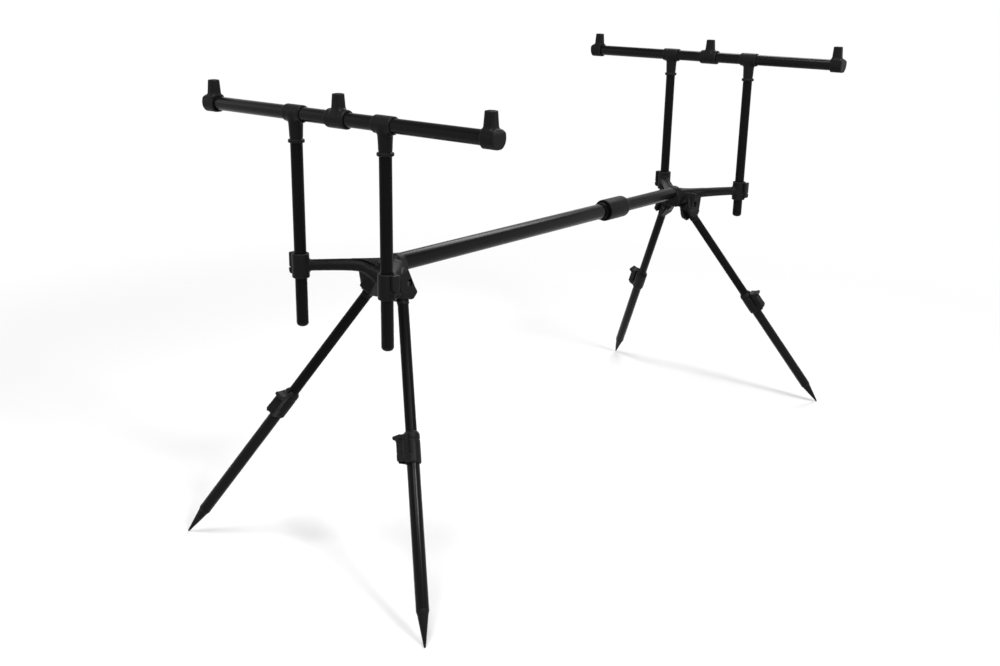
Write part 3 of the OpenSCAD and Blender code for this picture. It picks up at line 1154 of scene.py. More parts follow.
@dataclass
class Lever:
    """A clamp lever, drawn round its pin with Z along the lever and Y outward.

    Attributes:
        cam_r: Radius of the knuckle on the pin.
        inner_w: Width between the ears.
        outer_w: Width above the ears.
        top: Height of the tip above the pin.
        hook: How far the tip reaches out, or 0 for a plain paddle.
        heel: How far the squared heel of a hooked lever reaches below its knuckle.
        pin_d: Diameter of the pin.
        gap: Clearance round the pin.
        step: Width of the mesh's net.
    """

    cam_r: float
    inner_w: float
    outer_w: float
    top: float
    hook: float
    heel: float = 1.0
    pin_d: float = 2.6
    gap: float = 0.08
    step: float = 0.62

    def mesh(self) -> Mesh:
        """Moulds the lever.

        Returns:
            The lever's mesh.
        """
        c, top = self.cam_r, self.top
        ease = 0.9 if self.hook else 0.7
        wide, slim, low = self.outer_w / 2, self.inner_w / 2, c + 1.2
        heel = stroke((0, 0), (0, top - 6), c, c - 0.2)
        if self.hook:
            foot = c + self.heel
            low = 1.0
            front = [(c - 1.6, -foot), (c, 1.6 - foot), (c, c + 4)]
            heel = outline([(1.4 - c, -c), *front, (-c, c + 4), (-c, 1.4 - c)], 0.7)
        root = Form.slab(heel, Axis.X, -slim, slim, ease)
        fall = self.hook * 0.8
        paddle = outline([(-c, low), (c, low), (c, top - fall), (-c, top)], 1.2)
        blade = Form.slab(paddle, Axis.X, -wide, wide, ease)
        if self.hook:
            level = top - 7.6
            nub = stroke((c - 2.4, level), (c + self.hook - 2.7, level + 0.8), 3.4, 2.7)
            blade = blade.joined(Form.slab(nub, Axis.X, -wide, wide, 1.4), 2.0)
            room = Form.rod((-wide - 2, 0, 0), (wide + 2, 0, 0), self.ear_r() + self.gap * 3)
            blade = blade.cut(room, 0.3)
        hole = Form.rod((-self.outer_w, 0, 0), (self.outer_w, 0, 0), self.pin_d / 2 + self.gap)
        lever = root.joined(blade, 0.8).cut(hole, 0.3)
        return lever.mesh((-wide, -c, -c), (wide, c + self.hook, top), self.step)

    def ear_r(self) -> float:
        """Radius of the ears that a hooked lever turns on."""
        return self.cam_r + 1.1

    def pin(self, length: float) -> Mesh:
        """The pin, along X, with its ends domed.

        Args:
            length: Length over both ends.

        Returns:
            The pin's mesh.
        """
        r, half = self.pin_d / 2, length / 2
        rings = (Ring(0, -half), Ring(r, -half, 0.5), Ring(r, half, 0.5), Ring(0, half))
        return Turning(rings, segments=32).mesh().placed(lying(Axis.X))


@dataclass
class Hub:
    """A hub: the casting that holds the main bar, two uprights and two legs, with its bolts and levers.

    The casting is drawn for the rear hub's frame: Y outward, X to the right, the bar's axis at Z = 0.

    Attributes:
        boss_r: Radius of the boss where the main tube meets it, by end.
        core_half: Half the width of the core under the boss.
        boss_back: How far the boss reaches back over the tube.
        boss_nose: How far it reaches outward.
        upright_x: Sideways distance to an upright.
        upright_out: Outward distance to an upright.
        arm_root: Middle of an arm where it leaves the boss.
        arm_tip_z: Height of an arm's middle at its collar.
        arm_r: Radius of an arm at the boss and at its collar.
        flute_r: Radius of the hollow along the back of an arm.
        flute_deep: Depth of that hollow near the boss and near the collar.
        web_run: Distance from the middle to where the crotch's curve meets an arm.
        rim_w: Half the width of the rim that sweeps round the crotch.
        rim_z: Height of the rim's middle line in the crotch and on an arm.
        rim_half: Half the rim's height in the crotch and on an arm.
        rim_fade: Sideways distances over which the rim's height and thickness settle.
        groove_r: Radius of the groove along the rim's upper edge.
        deck_top: Height of the deck behind the rim, where it meets the boss.
        collar_r: Radius of a collar.
        collar_z: Lower and upper end of a collar.
        bore_r: Radius of a collar's bore.
        hinge: A leg's hinge.
        splay: Sideways lean of a leg, in degrees.
        rake: Outward lean of a leg, in degrees.
        slot_w: Width of the slot between a bracket's cheeks.
        bracket_t: Thickness over both cheeks.
        cheek_x: Sideways distance to a bracket's upright outer face.
        lug_r: Radius of the room for a leg's knuckle.
        neck_half: Half the width of the room for a leg's neck.
        bolt_d: Diameter of a hinge bolt.
        spigot: Radius and length of the spigot inside the main tube, by end.
        lever: The lever on a collar.
        lever_at: Place of its pin in the collar.
        ear_t: Thickness of an ear.
        gap: Clearance beside moving faces.
        step: Width of the casting's net.
    """

    boss_r: dict[End, float] = field(default_factory=lambda: {End.FRONT: 13.0, End.REAR: 11.8})
    core_half: float = 13.9
    boss_back: float = 9.0
    boss_nose: float = 12.0
    upright_x: float = 79.0
    upright_out: float = 97.0
    arm_root: Point = (3.0, -1.0, -2.5)
    arm_tip_z: float = 2.0
    arm_r: tuple[float, float] = (9.0, 6.6)
    flute_r: float = 9.0
    flute_deep: tuple[float, float] = (2.6, 1.2)
    web_run: float = 54.0
    rim_w: float = 7.2
    rim_z: tuple[float, float] = (-17.0, 0.8)
    rim_half: tuple[float, float] = (10.1, 6.9)
    rim_fade: tuple[float, float] = (22.0, 24.0)
    groove_r: float = 2.6
    deck_top: float = 6.5
    collar_r: float = 11.6
    collar_z: tuple[float, float] = (-15.0, 18.0)
    bore_r: float = 8.2
    hinge: Point = (23.0, 12.0, -26.0)
    splay: float = 29.0
    rake: float = 23.0
    slot_w: float = 12.8
    bracket_t: float = 21.2
    cheek_x: float = 38.6
    lug_r: float = 9.2
    neck_half: float = 6.5
    bolt_d: float = 6.0
    spigot: dict[End, tuple[float, float]] = field(
        default_factory=lambda: {End.FRONT: (11.05, 42.0), End.REAR: (9.45, 42.0)}
    )
    lever: Lever = field(default_factory=lambda: Lever(2.5, 6.4, 10.8, 23.6, 0.0, step=0.5))
    lever_at: Point = (14.5, 0.0, -6.0)
    ear_t: float = 2.2
    gap: float = 0.4
    step: float = 1.0

    def fold(self) -> Matrix:
        """The frame of the right leg's hinge, with X along its bolt."""
        return shift(*self.hinge) @ turn(-self.splay, Axis.Y)

    def arm_point(self, share: float, aside: float = 0.0, up: float = 0.0) -> Point:
        """A point on or beside the right arm's axis.

        Args:
            share: 0 at the boss, 1 at the collar.
            aside: Sideways distance, with the outer side of the pod below zero.
            up: Distance above the axis.

        Returns:
            The point.
        """
        root, tip = np.array(self.arm_root), np.array((self.upright_x, self.upright_out, self.arm_tip_z))
        run = math.hypot(self.upright_x, self.upright_out)
        out = np.array((self.upright_out, -self.upright_x, 0)) / run
        x, y, z = root + (tip - root) * share + out * aside + np.array((0, 0, up))
        return (x, y, z)

    def rim_path(self, p: np.ndarray) -> tuple[np.ndarray, np.ndarray, np.ndarray, np.ndarray]:
        """Where points lie beside the rim's middle line, round the crotch and along the arms.

        Args:
            p: The points.

        Returns:
            The distance behind the line, the run along an arm, and the rim's middle height
            and half height there.
        """
        half = math.atan2(self.upright_x, self.upright_out)
        centre, radius = self.web_run / math.cos(half), self.web_run * math.tan(half)
        x, y = np.abs(p[:, 0]), p[:, 1]
        run = x * math.sin(half) + y * math.cos(half)
        bent = run < self.web_run
        out = np.hypot(x, y - centre)
        behind = np.where(bent, out - radius, x * math.cos(half) - y * math.sin(half))
        across = np.where(bent, radius * x / np.maximum(out, 1.0), run * math.sin(half))
        drop, swell = (np.exp(-((across / fade) ** 2)) for fade in self.rim_fade)
        level = self.rim_z[1] + (self.rim_z[0] - self.rim_z[1]) * drop
        return behind, run, level, self.rim_half[1] + (self.rim_half[0] - self.rim_half[1]) * swell

    def rim(self) -> Form:
        """The rim: a rounded band that follows both arms and hangs low in the crotch.

        Returns:
            The solid of both halves.
        """
        end = math.hypot(self.upright_x, self.upright_out) - self.bore_r

        def distance(p: np.ndarray) -> np.ndarray:
            """The distance from the rim, about.

            Args:
                p: The points.

            Returns:
                The distances, below zero inside the rim.
            """
            behind, run, level, tall = self.rim_path(p)
            oval = np.hypot(behind / self.rim_w, (p[:, 2] - level) / tall) - 1
            return np.maximum(oval * self.rim_w, run - end)

        return Form(distance)

    def deck(self) -> Form:
        """The deck behind the rim, which falls from the boss into the groove along the rim.

        Returns:
            The solid of both halves.
        """
        half = math.atan2(self.upright_x, self.upright_out)
        slope = 1.25

        def distance(p: np.ndarray) -> np.ndarray:
            """The distance from the deck, about.

            Args:
                p: The points.

            Returns:
                The distances, below zero inside the deck.
            """
            behind, run, level, tall = self.rim_path(p)
            aside = np.abs(p[:, 0]) * math.cos(half) - p[:, 1] * math.sin(half)
            plan = np.maximum.reduce([aside, run - self.web_run, -behind, -p[:, 1] - 4])
            top = lower(level + 0.62 * tall + slope * behind, np.full(len(p), self.deck_top), 5.0)
            upright = np.maximum((p[:, 2] - top) / math.hypot(1, slope), level - tall + 3.5 - p[:, 2])
            return both(plan, upright, 2.0)

        return Form(distance)

    def groove(self) -> Form:
        """The groove along the rim's upper edge, which runs out before the collars.

        Returns:
            The solid to cut away.
        """
        end = math.hypot(self.upright_x, self.upright_out) - self.collar_r

        def distance(p: np.ndarray) -> np.ndarray:
            """The distance from the groove, about.

            Args:
                p: The points.

            Returns:
                The distances, below zero inside the groove.
            """
            behind, run, level, tall = self.rim_path(p)
            low = np.clip((self.rim_z[1] - level) / (self.rim_z[1] - self.rim_z[0]), 0, 1)
            r = self.groove_r * np.sqrt(np.clip((end - run) / 40, 0, 1))
            out = self.rim_w * (0.40 - 0.54 * low)
            return np.hypot(behind + out, p[:, 2] - level - tall * (0.92 + 0.08 * low)) - r

        return Form(distance)

    def wishbone(self) -> Form:
        """The arms, the rim round the crotch, the deck behind it and the hollow along the back of an arm.

        Returns:
            The right half's solid.
        """
        arm = Form.bar(self.arm_point(0), self.arm_point(1), *self.arm_r)
        solid = arm.joined(self.deck(), 7.0).joined(self.rim(), 2.4)
        r = self.flute_r
        ends = []
        for share, deep in zip((0.46, 0.84), self.flute_deep):
            width = self.arm_r[0] + (self.arm_r[1] - self.arm_r[0]) * share
            ends.append(self.arm_point(share, width + r - deep, 1.2))
        return solid.cut(Form.bar(*ends, r, r), 1.0).cut(self.groove(), 0.9)

    def bracket(self) -> Form:
        """One leg's bracket before its slot is cut.

        Returns:
            The bracket's solid, with an upright outer cheek; the recess for the bolt's head is cut later,
            with the slot.
        """
        half = self.bracket_t / 2
        cheek = outline([(17, 23), (2, 23), (-14, -8), (-14, -14), (-2, -21.5), (19, -13)], 2.2)
        neck_t = self.bracket_t * 0.62
        neck = outline([(-9, 8), (12, 8), (10, 32), (-9, 32)], 2.0)
        solid = Form.slab(cheek, Axis.X, -half, half, 1.2).joined(
            Form.slab(neck, Axis.X, -half, neck_t - half, 2.0), 4.0
        ).placed(self.fold())
        face = outline([(27, -38.5), (33, -5), (15, 1), (-1, -32), (8, -41)], 1.8)
        inner = outline([(-80, -80), (80, -80), (80, 80), (-80, 80)], 1.0)
        outer = Form.slab(face, Axis.X, 4, self.cheek_x, 1.4)
        outer = outer.cut(Form.slab(inner, Axis.X, -80, 1, 0.1).placed(self.fold()), 0.5)
        return solid.joined(outer, 1.5)

    def bracket_room(self) -> list[Form]:
        """The room in a bracket for a leg's knuckle, its swing and the bolt's head, in the hinge's frame.

        Returns:
            The solids to cut away.
        """
        half = self.slot_w / 2
        ring = Form.rod((-half, 0, 0), (half, 0, 0), self.lug_r, 0.6)
        stop = outline([(-14, -40), (self.neck_half, -40), (self.neck_half, 0), (-14, 0)], 0.3)
        leg = Form.slab(stop, Axis.X, -half, half, 0.5).placed(turn(self.rake, Axis.X))
        swing = outline([(-40, -40), (0, -40), (0, self.lug_r), (-40, self.lug_r)], 0.3)
        face = self.bracket_t / 2
        recess = Form.rod((face, 0, 0), (face + 30, 0, 0), self.bolt_d * 0.77)
        return [ring, leg, Form.slab(swing, Axis.X, -half, half, 0.5), recess]

    def collar(self) -> Form:
        """A collar with its ears, in the collar's frame.

        Returns:
            The collar's solid before it is bored.
        """
        low, high = self.collar_z
        solid = Form.rod((0, 0, low), (0, 0, high), self.collar_r, 1.3)
        x, _, z = self.lever_at
        e = self.lever.cam_r + 0.5
        middle = self.lever.inner_w / 2 + self.gap + self.ear_t / 2
        foot, head, root, tip = z - e, z + e, x - 9, x + e
        front = [(tip - 2, foot - 2), (tip, foot + 1), (tip, head)]
        ear = outline([(root, foot - 3), *front, (root, head)], 1.4)
        for way in (-1, 1):
            at = way * middle
            solid = solid.joined(Form.slab(ear, Axis.Y, at - self.ear_t / 2, at + self.ear_t / 2, 0.5), 0.8)
        return solid

    def casting(self, end: End) -> Mesh:
        """Moulds the casting, with its fillets.

        Args:
            end: Which end of the pod it is at, for the boss.

        Returns:
            The casting's mesh, with the spigot.
        """
        back, nose, r, wide = -self.boss_back, self.boss_nose, self.boss_r[end], self.core_half
        boss = Form.rod((0, back, 0), (0, 2, 0), r, 0.9)
        boss = boss.joined(Form.bar((0, 0, 0), (0, nose - 7, -2), r, r - 3), 2.0)
        drop = self.hinge[2] + 2
        left = [(-wide, 2), (-wide - 5, -10), (1 - wide, drop)]
        right = [(wide - 1, drop), (wide + 5, -10), (wide, 2)]
        core = outline(left + right, 3.5)
        solid = boss.joined(Form.slab(core, Axis.Y, -8, 14, 2.5), 5.0)
        solid = solid.joined(self.wishbone(), 6.5)
        solid = solid.joined(self.bracket(), 3.5)
        at = shift(self.upright_x, self.upright_out, 0)
        solid = solid.joined(self.collar().placed(at), 3.5)
        for room in self.bracket_room():
            solid = solid.cut(room.placed(self.fold()), 0.7)
        low, high = self.collar_z
        bore = Form.rod((0, 0, low - 5), (0, 0, high + 5), self.bore_r).placed(at)
        split = outline([(0, -1), (self.collar_r + 2, -1), (self.collar_r + 2, 1), (0, 1)], 0.2)
        slot = Form.slab(split, Axis.Z, low - 5, high + 5, 0.1).placed(at)
        solid = solid.cut(bore, 0.6).cut(slot, 0.4).mirrored()
        reach = self.upright_x + self.lever_at[0] + 4
        box = ((-reach, back - 7, -52), (reach, self.upright_out + self.collar_r, high + 1))
        inside, length = self.spigot[end]
        rings = (Ring(0, 0), Ring(inside, 0, 1.0), Ring(inside, length + 1.5), Ring(0, length + 1.5))
        spigot = Turning(rings).mesh().placed(shift(0, back - length, 0) @ lying(Axis.Y))
        return solid.mesh(*box, self.step).plus(spigot)

    def bolt(self) -> Mesh:
        """A hinge bolt along Z: a button head with a hex socket, a shank and a locking nut.

        Returns:
            The bolt's mesh.
        """
        half, r = self.bracket_t / 2, self.bolt_d / 2
        head = r * 1.38
        shank = (
            Ring(0, -half - 4), Ring(r - 0.5, -half - 4, 0.2), Ring(r, -half - 3.5, 0.2), Ring(r, half),
            Ring(head, half, 0.2), Ring(head, half + 2.4, 0.6), Ring(head - 0.7, half + 3.2, 0.3),
            Ring(r * 0.92, half + 3.2, 0.15), Ring(r * 0.80, half + 3.0, 0, 6),
            Ring(r * 0.80, half + 0.9, 0, 6), Ring(0, half + 0.6),
        )
        width = r * 1.56
        nut = (
            Ring(r, -half - 3.4, 0.1), Ring(width * 0.8, -half - 3.4, 0.3), Ring(width * 0.86, -half - 2.4),
            Ring(width, -half - 2.2, 0.15, 6), Ring(width, -half, 0.15, 6), Ring(r, -half, 0.1),
        )
        return Turning(shank, segments=48).mesh().plus(Turning(nut, True, 48).mesh())

    def build(self, end: End) -> list[Piece]:
        """All the pieces of one hub.

        Args:
            end: Which end of the pod it is at.

        Returns:
            The casting, the bolts, the pins and the two levers.
        """
        low, high = node_box("main_outer_tube")
        out = self.boss_back - low.y
        place = corner(end, Side.RIGHT) @ shift(0, out, (low.z + high.z) / 2)
        pieces = [Piece(f"{end.label}_hub", self.casting(end).placed(place), NYLON)]
        sides = [Matrix.Identity(4), corner(End.REAR, Side.LEFT)]
        bolt, pin = self.bolt(), self.lever.pin(self.lever.inner_w + 2 * self.gap + 2 * self.ear_t)
        bolts = [bolt.placed(place @ side @ self.fold() @ lying(Axis.X)) for side in sides]
        pieces.append(Piece(f"{end.label}_hinge_bolts", combined(bolts), PIN_STEEL))
        at = shift(self.upright_x, self.upright_out, 0) @ shift(*self.lever_at) @ turn(-90, Axis.Z)
        pins = [pin.placed(place @ side @ at) for side in sides]
        pieces.append(Piece(f"{end.label}_collar_pins", combined(pins), PIN_STEEL))
        lever = self.lever.mesh()
        for side in Side:
            node = f"{end.label}_{side.label}_collar_lever"
            pieces.append(Piece(node, lever.placed(place @ corner(End.REAR, side) @ at), LEVER_NYLON))
        return pieces


@dataclass
class CrossBar:
    """A cross bar on its two uprights, with its tees and rest sockets.

    Attributes:
        bar_d: Diameter of the bar's tube.
        bar_wall: Its wall.
        upright_d: Diameter of an upright.
        upright_wall: Its wall.
        upright_x: Sideways distance to an upright.
        socket_x: Sideways distance to an end socket.
        cap_r: Radius of a socket's body.
        cap_back: Length of an end socket over its tube.
        cap_nose: Length of an end socket past its stub's axis.
        stub_half: Half the width of a stub at its foot and at its rim.
        socket_h: Height of a stub's rim.
        tee_r: Radius of a tee round the bar.
        tee_len: Length of a tee along the bar.
        tee_drop: Drop to the underside of a tee's flange.
        stem_r: Radius of a tee's stem.
        rim_r: Radius of a tee's flange.
        flange_t: Thickness of the flange.
        insert_d: Diameter of a threaded insert.
        insert_len: Length of an insert.
        thread_d: Diameter of an insert's bore.
        pitch: Pitch of an insert's thread.
        plug_h: Height of an upright's plug below its tube.
        step: Width of the mouldings' net.
    """

    bar_d: float = 18.0
    bar_wall: float = 1.2
    upright_d: float = 16.0
    upright_wall: float = 1.2
    upright_x: float = 79.0
    socket_x: float = 241.0
    cap_r: float = 12.0
    cap_back: float = 8.0
    cap_nose: float = 13.4
    stub_half: tuple[float, float] = (7.9, 6.7)
    socket_h: float = 30.5
    tee_r: float = 11.1
    tee_len: float = 31.0
    tee_drop: float = 37.0
    stem_r: float = 8.4
    rim_r: float = 10.7
    flange_t: float = 4.6
    insert_d: float = 11.0
    insert_len: float = 14.0
    thread_d: float = 8.2
    pitch: float = 1.25
    plug_h: float = 5.0
    step: float = 0.8

    def bar_room(self, low: float, high: float) -> Form:
        """The bore for the bar's tube, between two places along it."""
        return Form.rod((low, 0, 0), (high, 0, 0), self.bar_d / 2 + 0.05)

    def tee(self) -> Mesh:
        """Moulds a tee, with its stem, neck and stop flange.

        Returns:
            The tee's mesh.
        """
        half, r, low = self.tee_len / 2, self.tee_r, -self.tee_drop
        sleeve = Form.rod((-half, 0, 0), (half, 0, 0), r, 1.6)
        stem = Form.bar((0, 0, -4), (0, 0, low + 9), r - 1.2, self.stem_r + 0.2)
        neck = Form.rod((0, 0, low + 2), (0, 0, low + 12), self.stem_r - 0.5, 0.4)
        flange = Form.rod((0, 0, low), (0, 0, low + self.flange_t), self.rim_r, 1.4)
        solid = sleeve.joined(stem, 4.0).joined(neck, 1.6).joined(flange, 1.0)
        solid = solid.cut(self.bar_room(-half - 4, half + 4), 0.5)
        mesh = solid.mesh((-half, -r, low), (half, r, r), self.step)
        inside = self.upright_d / 2 - self.upright_wall - 0.05
        rings = (Ring(0, low - 24), Ring(inside, low - 24, 0.8), Ring(inside, low + 1), Ring(0, low + 1))
        return mesh.plus(Turning(rings).mesh())

    def stub(self) -> Form:
        """A rest's stub: a tapering, softly squared post.

        Returns:
            The stub's solid, before it is bored.
        """
        foot, rim = self.stub_half
        top, base = self.socket_h, self.bar_d / 2

        def distance(p: np.ndarray) -> np.ndarray:
            """The distance from the tapering post.

            Args:
                p: The points.

            Returns:
                The distances, below zero inside the post.
            """
            share = np.clip((p[:, 2] - base) / (top - base), 0, 1)
            half = foot + (rim - foot) * share
            soft = 4.8
            square = both(np.abs(p[:, 0]) - half, np.abs(p[:, 1]) - half, soft)
            return both(square, np.abs(p[:, 2] - top / 2 - 1) - top / 2 + 1, 1.0)

        return Form(distance)

    def insert_floor(self) -> float:
        """Height of an insert's underside, with the insert a little below its stub's rim."""
        return self.socket_h - 1 - self.insert_len

    def insert_room(self) -> Form:
        """The bore in a stub for its threaded insert."""
        top = self.socket_h + 4
        return Form.rod((0, 0, self.insert_floor()), (0, 0, top), self.insert_d / 2 + 0.05)

    def socket_mesh(self, body: Form, room: Form, low: float, high: float) -> Mesh:
        """Moulds a socket from its body and its stub.

        Args:
            body: The body round the bar.
            room: The bore for the bar.
            low: Where the body starts along the bar.
            high: Where it ends.

        Returns:
            The socket's mesh.
        """
        solid = body.joined(self.stub(), 4.5).cut(room, 0.5).cut(self.insert_room(), 0.6)
        return solid.mesh((low, -self.cap_r, -self.cap_r), (high, self.cap_r, self.socket_h), self.step)

    def centre_socket(self) -> Mesh:
        """Moulds the socket in the middle of the bar.

        Returns:
            The socket's mesh, with its stub's axis at X = 0.
        """
        half = self.tee_len / 2 + 1
        body = Form.rod((-half, 0, 0), (half, 0, 0), self.cap_r, 1.9)
        return self.socket_mesh(body, self.bar_room(-half - 4, half + 4), -half, half)

    def end_socket(self) -> Mesh:
        """Moulds the right end socket, with its leaning, chamfered nose.

        Returns:
            The socket's mesh, with its stub's axis at X = 0.
        """
        r, back, nose = self.cap_r - 0.2, -self.cap_back, self.cap_nose
        level, lean, slope = self.bar_d / 2 + 1.6, 1.6, 3.8
        circle = stroke((0, 0), (0, 1), r, r)
        block = outline([(-10, 0), (10, 0), (10, level), (-10, level)], 3.0)
        front = [(nose - lean, -r), (nose, level - slope), (nose - slope, level)]
        length = outline([(back, -r), *front, (back, level)], 0.9)

        def body(p: np.ndarray) -> np.ndarray:
            """The distance from the body, which is round below and squared on top."""
            x, y, z = p.T
            return both(lower(circle(y, z + 1), block(y, z), 2.0), length(x, z), 1.3)

        return self.socket_mesh(Form(body), self.bar_room(back - 4, 8), back, nose)

    def plug(self, foot: float, end: float) -> Mesh:
        """The rounded plug in the foot of an upright.

        Args:
            foot: Height of the tube's lower end.
            end: Height of the plug's underside.

        Returns:
            The plug's mesh.
        """
        r = self.upright_d / 2
        inside = r - self.upright_wall - 0.05
        rings = (
            Ring(0, end), Ring(r - 4.2, end, 2.0), Ring(r - 1.0, end + 1.9, 2.0), Ring(r, end + 4.4, 1.4),
            Ring(r, foot, 0.25), Ring(inside, foot, 0.1), Ring(inside, foot + 14, 0.8), Ring(0, foot + 14),
        )
        return Turning(rings).mesh()

    @cached_property
    def mouldings(self) -> dict[str, Mesh]:
        """The meshes that both cross bars share, made once.

        Returns:
            Each mesh round the middle of the bar, by the last part of its node's name.
        """
        insert = threaded_insert(self.insert_d, self.thread_d, self.insert_len, self.pitch)
        end, other = self.end_socket(), corner(End.REAR, Side.LEFT)
        reach = shift(self.socket_x, 0, 0)
        floor = self.insert_floor()
        tee = self.tee()
        return {
            "tees": combined([tee.placed(shift(x, 0, 0)) for x in (-self.upright_x, self.upright_x)]),
            "centre_socket": self.centre_socket(),
            "end_sockets": end.placed(reach).plus(end.placed(other @ reach)),
            "thread_inserts": combined(
                [insert.placed(shift(x, 0, floor)) for x in (-self.socket_x, 0, self.socket_x)]
            ),
        }

    def build(self, end: End) -> list[Piece]:
        """All the pieces of one cross bar.

        Args:
            end: Which end of the pod it is at.

        Returns:
            The tubes, the mouldings, the inserts and the plugs.
        """
        low, high = node_box(f"{end.label}_bar_tube")
        middle = (low + high) / 2
        at = shift(*middle)
        half = high.x - middle.x
        bar = tube(self.bar_d, self.bar_wall, -half, half).placed(at @ lying(Axis.X))
        pieces = [Piece(f"{end.label}_bar_tube", bar, TUBE)]
        plugs = []
        for side in Side:
            node = f"{end.label}_{side.label}_upright"
            foot, head = (point.z - middle.z for point in node_box(node))
            place = at @ shift(side.value * self.upright_x, 0, 0)
            upright = tube(self.upright_d, self.upright_wall, foot, head)
            pieces.append(Piece(node, upright.placed(place), UPRIGHT))
            plugs.append(self.plug(foot, foot - self.plug_h).placed(place))
        pieces.append(Piece(f"{end.label}_upright_plugs", combined(plugs), NYLON))
        for name, mesh in self.mouldings.items():
            finish = BRASS if name == "thread_inserts" else NYLON
            pieces.append(Piece(f"{end.label}_{name}", mesh.placed(at), finish))
        return pieces


@dataclass
class Leg:
    """A telescopic leg, drawn hanging along -Z from its hinge, with X along the hinge and Y outward.

    Attributes:
        length: Distance from the hinge to the spike's point.
        upper_d: Diameter of the upper tube.
        upper_wall: Its wall.
        upper_z: Lower and upper end of the upper tube.
        lower_d: Diameter of the lower tube.
        lower_wall: Its wall.
        spike_len: Length of the spike.
        tip_r: Radius of the spike's point.
        clamp_z: Height of the clamp's top.
        clamp_h: Height of the clamp.
        clamp_r: Radius of the clamp.
        clamp_step: Depth of the lower tube's seat below the clamp's top.
        clamp_turn: Turn of the clamp about the leg, in degrees, by end.
        lever: The clamp's lever.
        lever_at: Place of its pin in the clamp.
        ear_t: Thickness of an ear.
        gap: Clearance beside moving faces.
        lug_r: Radius of the knuckle.
        knuckle_t: Thickness of the knuckle.
        neck_half: Half the width of the knuckle's neck.
        neck_len: Length of the neck.
        shoulder: Height of the shoulder that the upper tube meets.
        bolt_r: Radius of the knuckle's hole.
        step: Width of the mouldings' net.
    """

    length: float = 463.66
    upper_d: float = 14.6
    upper_wall: float = 1.0
    upper_z: tuple[float, float] = (-256.0, -27.0)
    lower_d: float = 16.4
    lower_wall: float = 0.7
    spike_len: float = 45.0
    tip_r: float = 1.2
    clamp_z: float = -197.66
    clamp_h: float = 42.0
    clamp_r: float = 10.7
    clamp_step: float = 12.0
    clamp_turn: dict[End, float] = field(default_factory=lambda: {End.FRONT: 0.0, End.REAR: 90.0})
    lever: Lever = field(default_factory=lambda: Lever(4.8, 8.0, 14.0, 31.0, 6.0))
    lever_at: Point = (0.0, 15.9, -34.0)
    ear_t: float = 3.0
    gap: float = 0.4
    lug_r: float = 8.4
    knuckle_t: float = 12.0
    neck_half: float = 6.1
    neck_len: float = 24.0
    shoulder: float = 3.0
    bolt_r: float = 3.08
    step: float = 0.8

    def knuckle(self) -> Mesh:
        """Moulds the knuckle, its neck and the plug inside the upper tube.

        Returns:
            The knuckle's mesh.
        """
        half, r, end = self.knuckle_t / 2, self.lug_r, -self.neck_len - self.shoulder
        lug = Form.rod((-half, 0, 0), (half, 0, 0), r, 0.9)
        neck = outline([(-self.neck_half, -self.neck_len), (self.neck_half, -self.neck_len),
                        (self.neck_half, 0), (-self.neck_half, 0)], 0.8)
        collar = Form.rod((0, 0, end), (0, 0, end + 4.4), self.upper_d / 2, 0.5)
        solid = lug.joined(Form.slab(neck, Axis.X, -half, half, 1.4), 1.0).joined(collar, 2.0)
        hole = Form.rod((-half - 3, 0, 0), (half + 3, 0, 0), self.bolt_r)
        mesh = solid.cut(hole, 0.4).mesh((-half - 2, -r, end), (half + 2, r, r), self.step)
        seat = self.upper_d / 2 - self.upper_wall - 0.05
        rings = (Ring(0, end - 28), Ring(seat, end - 28, 0.8), Ring(seat, end + 1), Ring(0, end + 1))
        return mesh.plus(Turning(rings).mesh())

    def clamp(self) -> Mesh:
        """Moulds the clamp: a split collar with a sloping top, a shallow waist line and two ears.

        Returns:
            The clamp's mesh, with its top at Z = 0.
        """
        r, low = self.clamp_r, -self.clamp_h
        neck, seat = self.upper_d / 2 + 0.2, self.lower_d / 2 + 0.05
        front = [(r - 1.2, low), (r, low + 1.6), (r, -4), (neck + 0.7, 0)]
        profile = outline([(-r, low), *front, (-r, 0)], 0.7)
        solid = Form.turned(profile, Axis.Z)
        line = Form.hoop((0, 0, -10.8), r + 0.6, 1.3)
        solid = solid.cut(line, 0.4)
        _, y, z = self.lever_at
        face, round_r = self.lever.cam_r - 0.1, self.lever.ear_r()
        middle = self.lever.inner_w / 2 + self.gap + self.ear_t / 2
        base, head, root = z - 7.6, z + 3.4, y - 9
        foot = outline([(root, base), (y + 1.6, base), (y + 2.4, z - 5), (y, head), (root, head)], 0.6)

        def ear(u: np.ndarray, v: np.ndarray) -> np.ndarray:
            """The outline of an ear, round where the lever passes it."""
            disc = np.hypot(u - y, v - z) - round_r
            return np.minimum(both(disc, u - y - face, 0.5), foot(u, v))

        for way in (-1, 1):
            at = way * middle
            solid = solid.joined(Form.slab(ear, Axis.X, at - self.ear_t / 2, at + self.ear_t / 2, 0.7), 1.2)
        room = self.lever.inner_w / 2 + self.gap
        swing = Form.rod((-room, y, z), (room, y, z), face + 2.0)
        solid = solid.cut(swing, 0.2)
        solid = solid.cut(Form.rod((0, 0, low - 4), (0, 0, -self.clamp_step), seat), 0.5)
        solid = solid.cut(Form.rod((0, 0, low), (0, 0, 4), neck), 0.5)
        split = outline([(-0.9, 0), (0.9, 0), (0.9, r + 3), (-0.9, r + 3)], 0.1)
        solid = solid.cut(Form.slab(split, Axis.Z, low - 4, 4, 0.1), 0.3)
        return solid.mesh((-r, -r, low), (r, y + face + 1, 0), self.step)

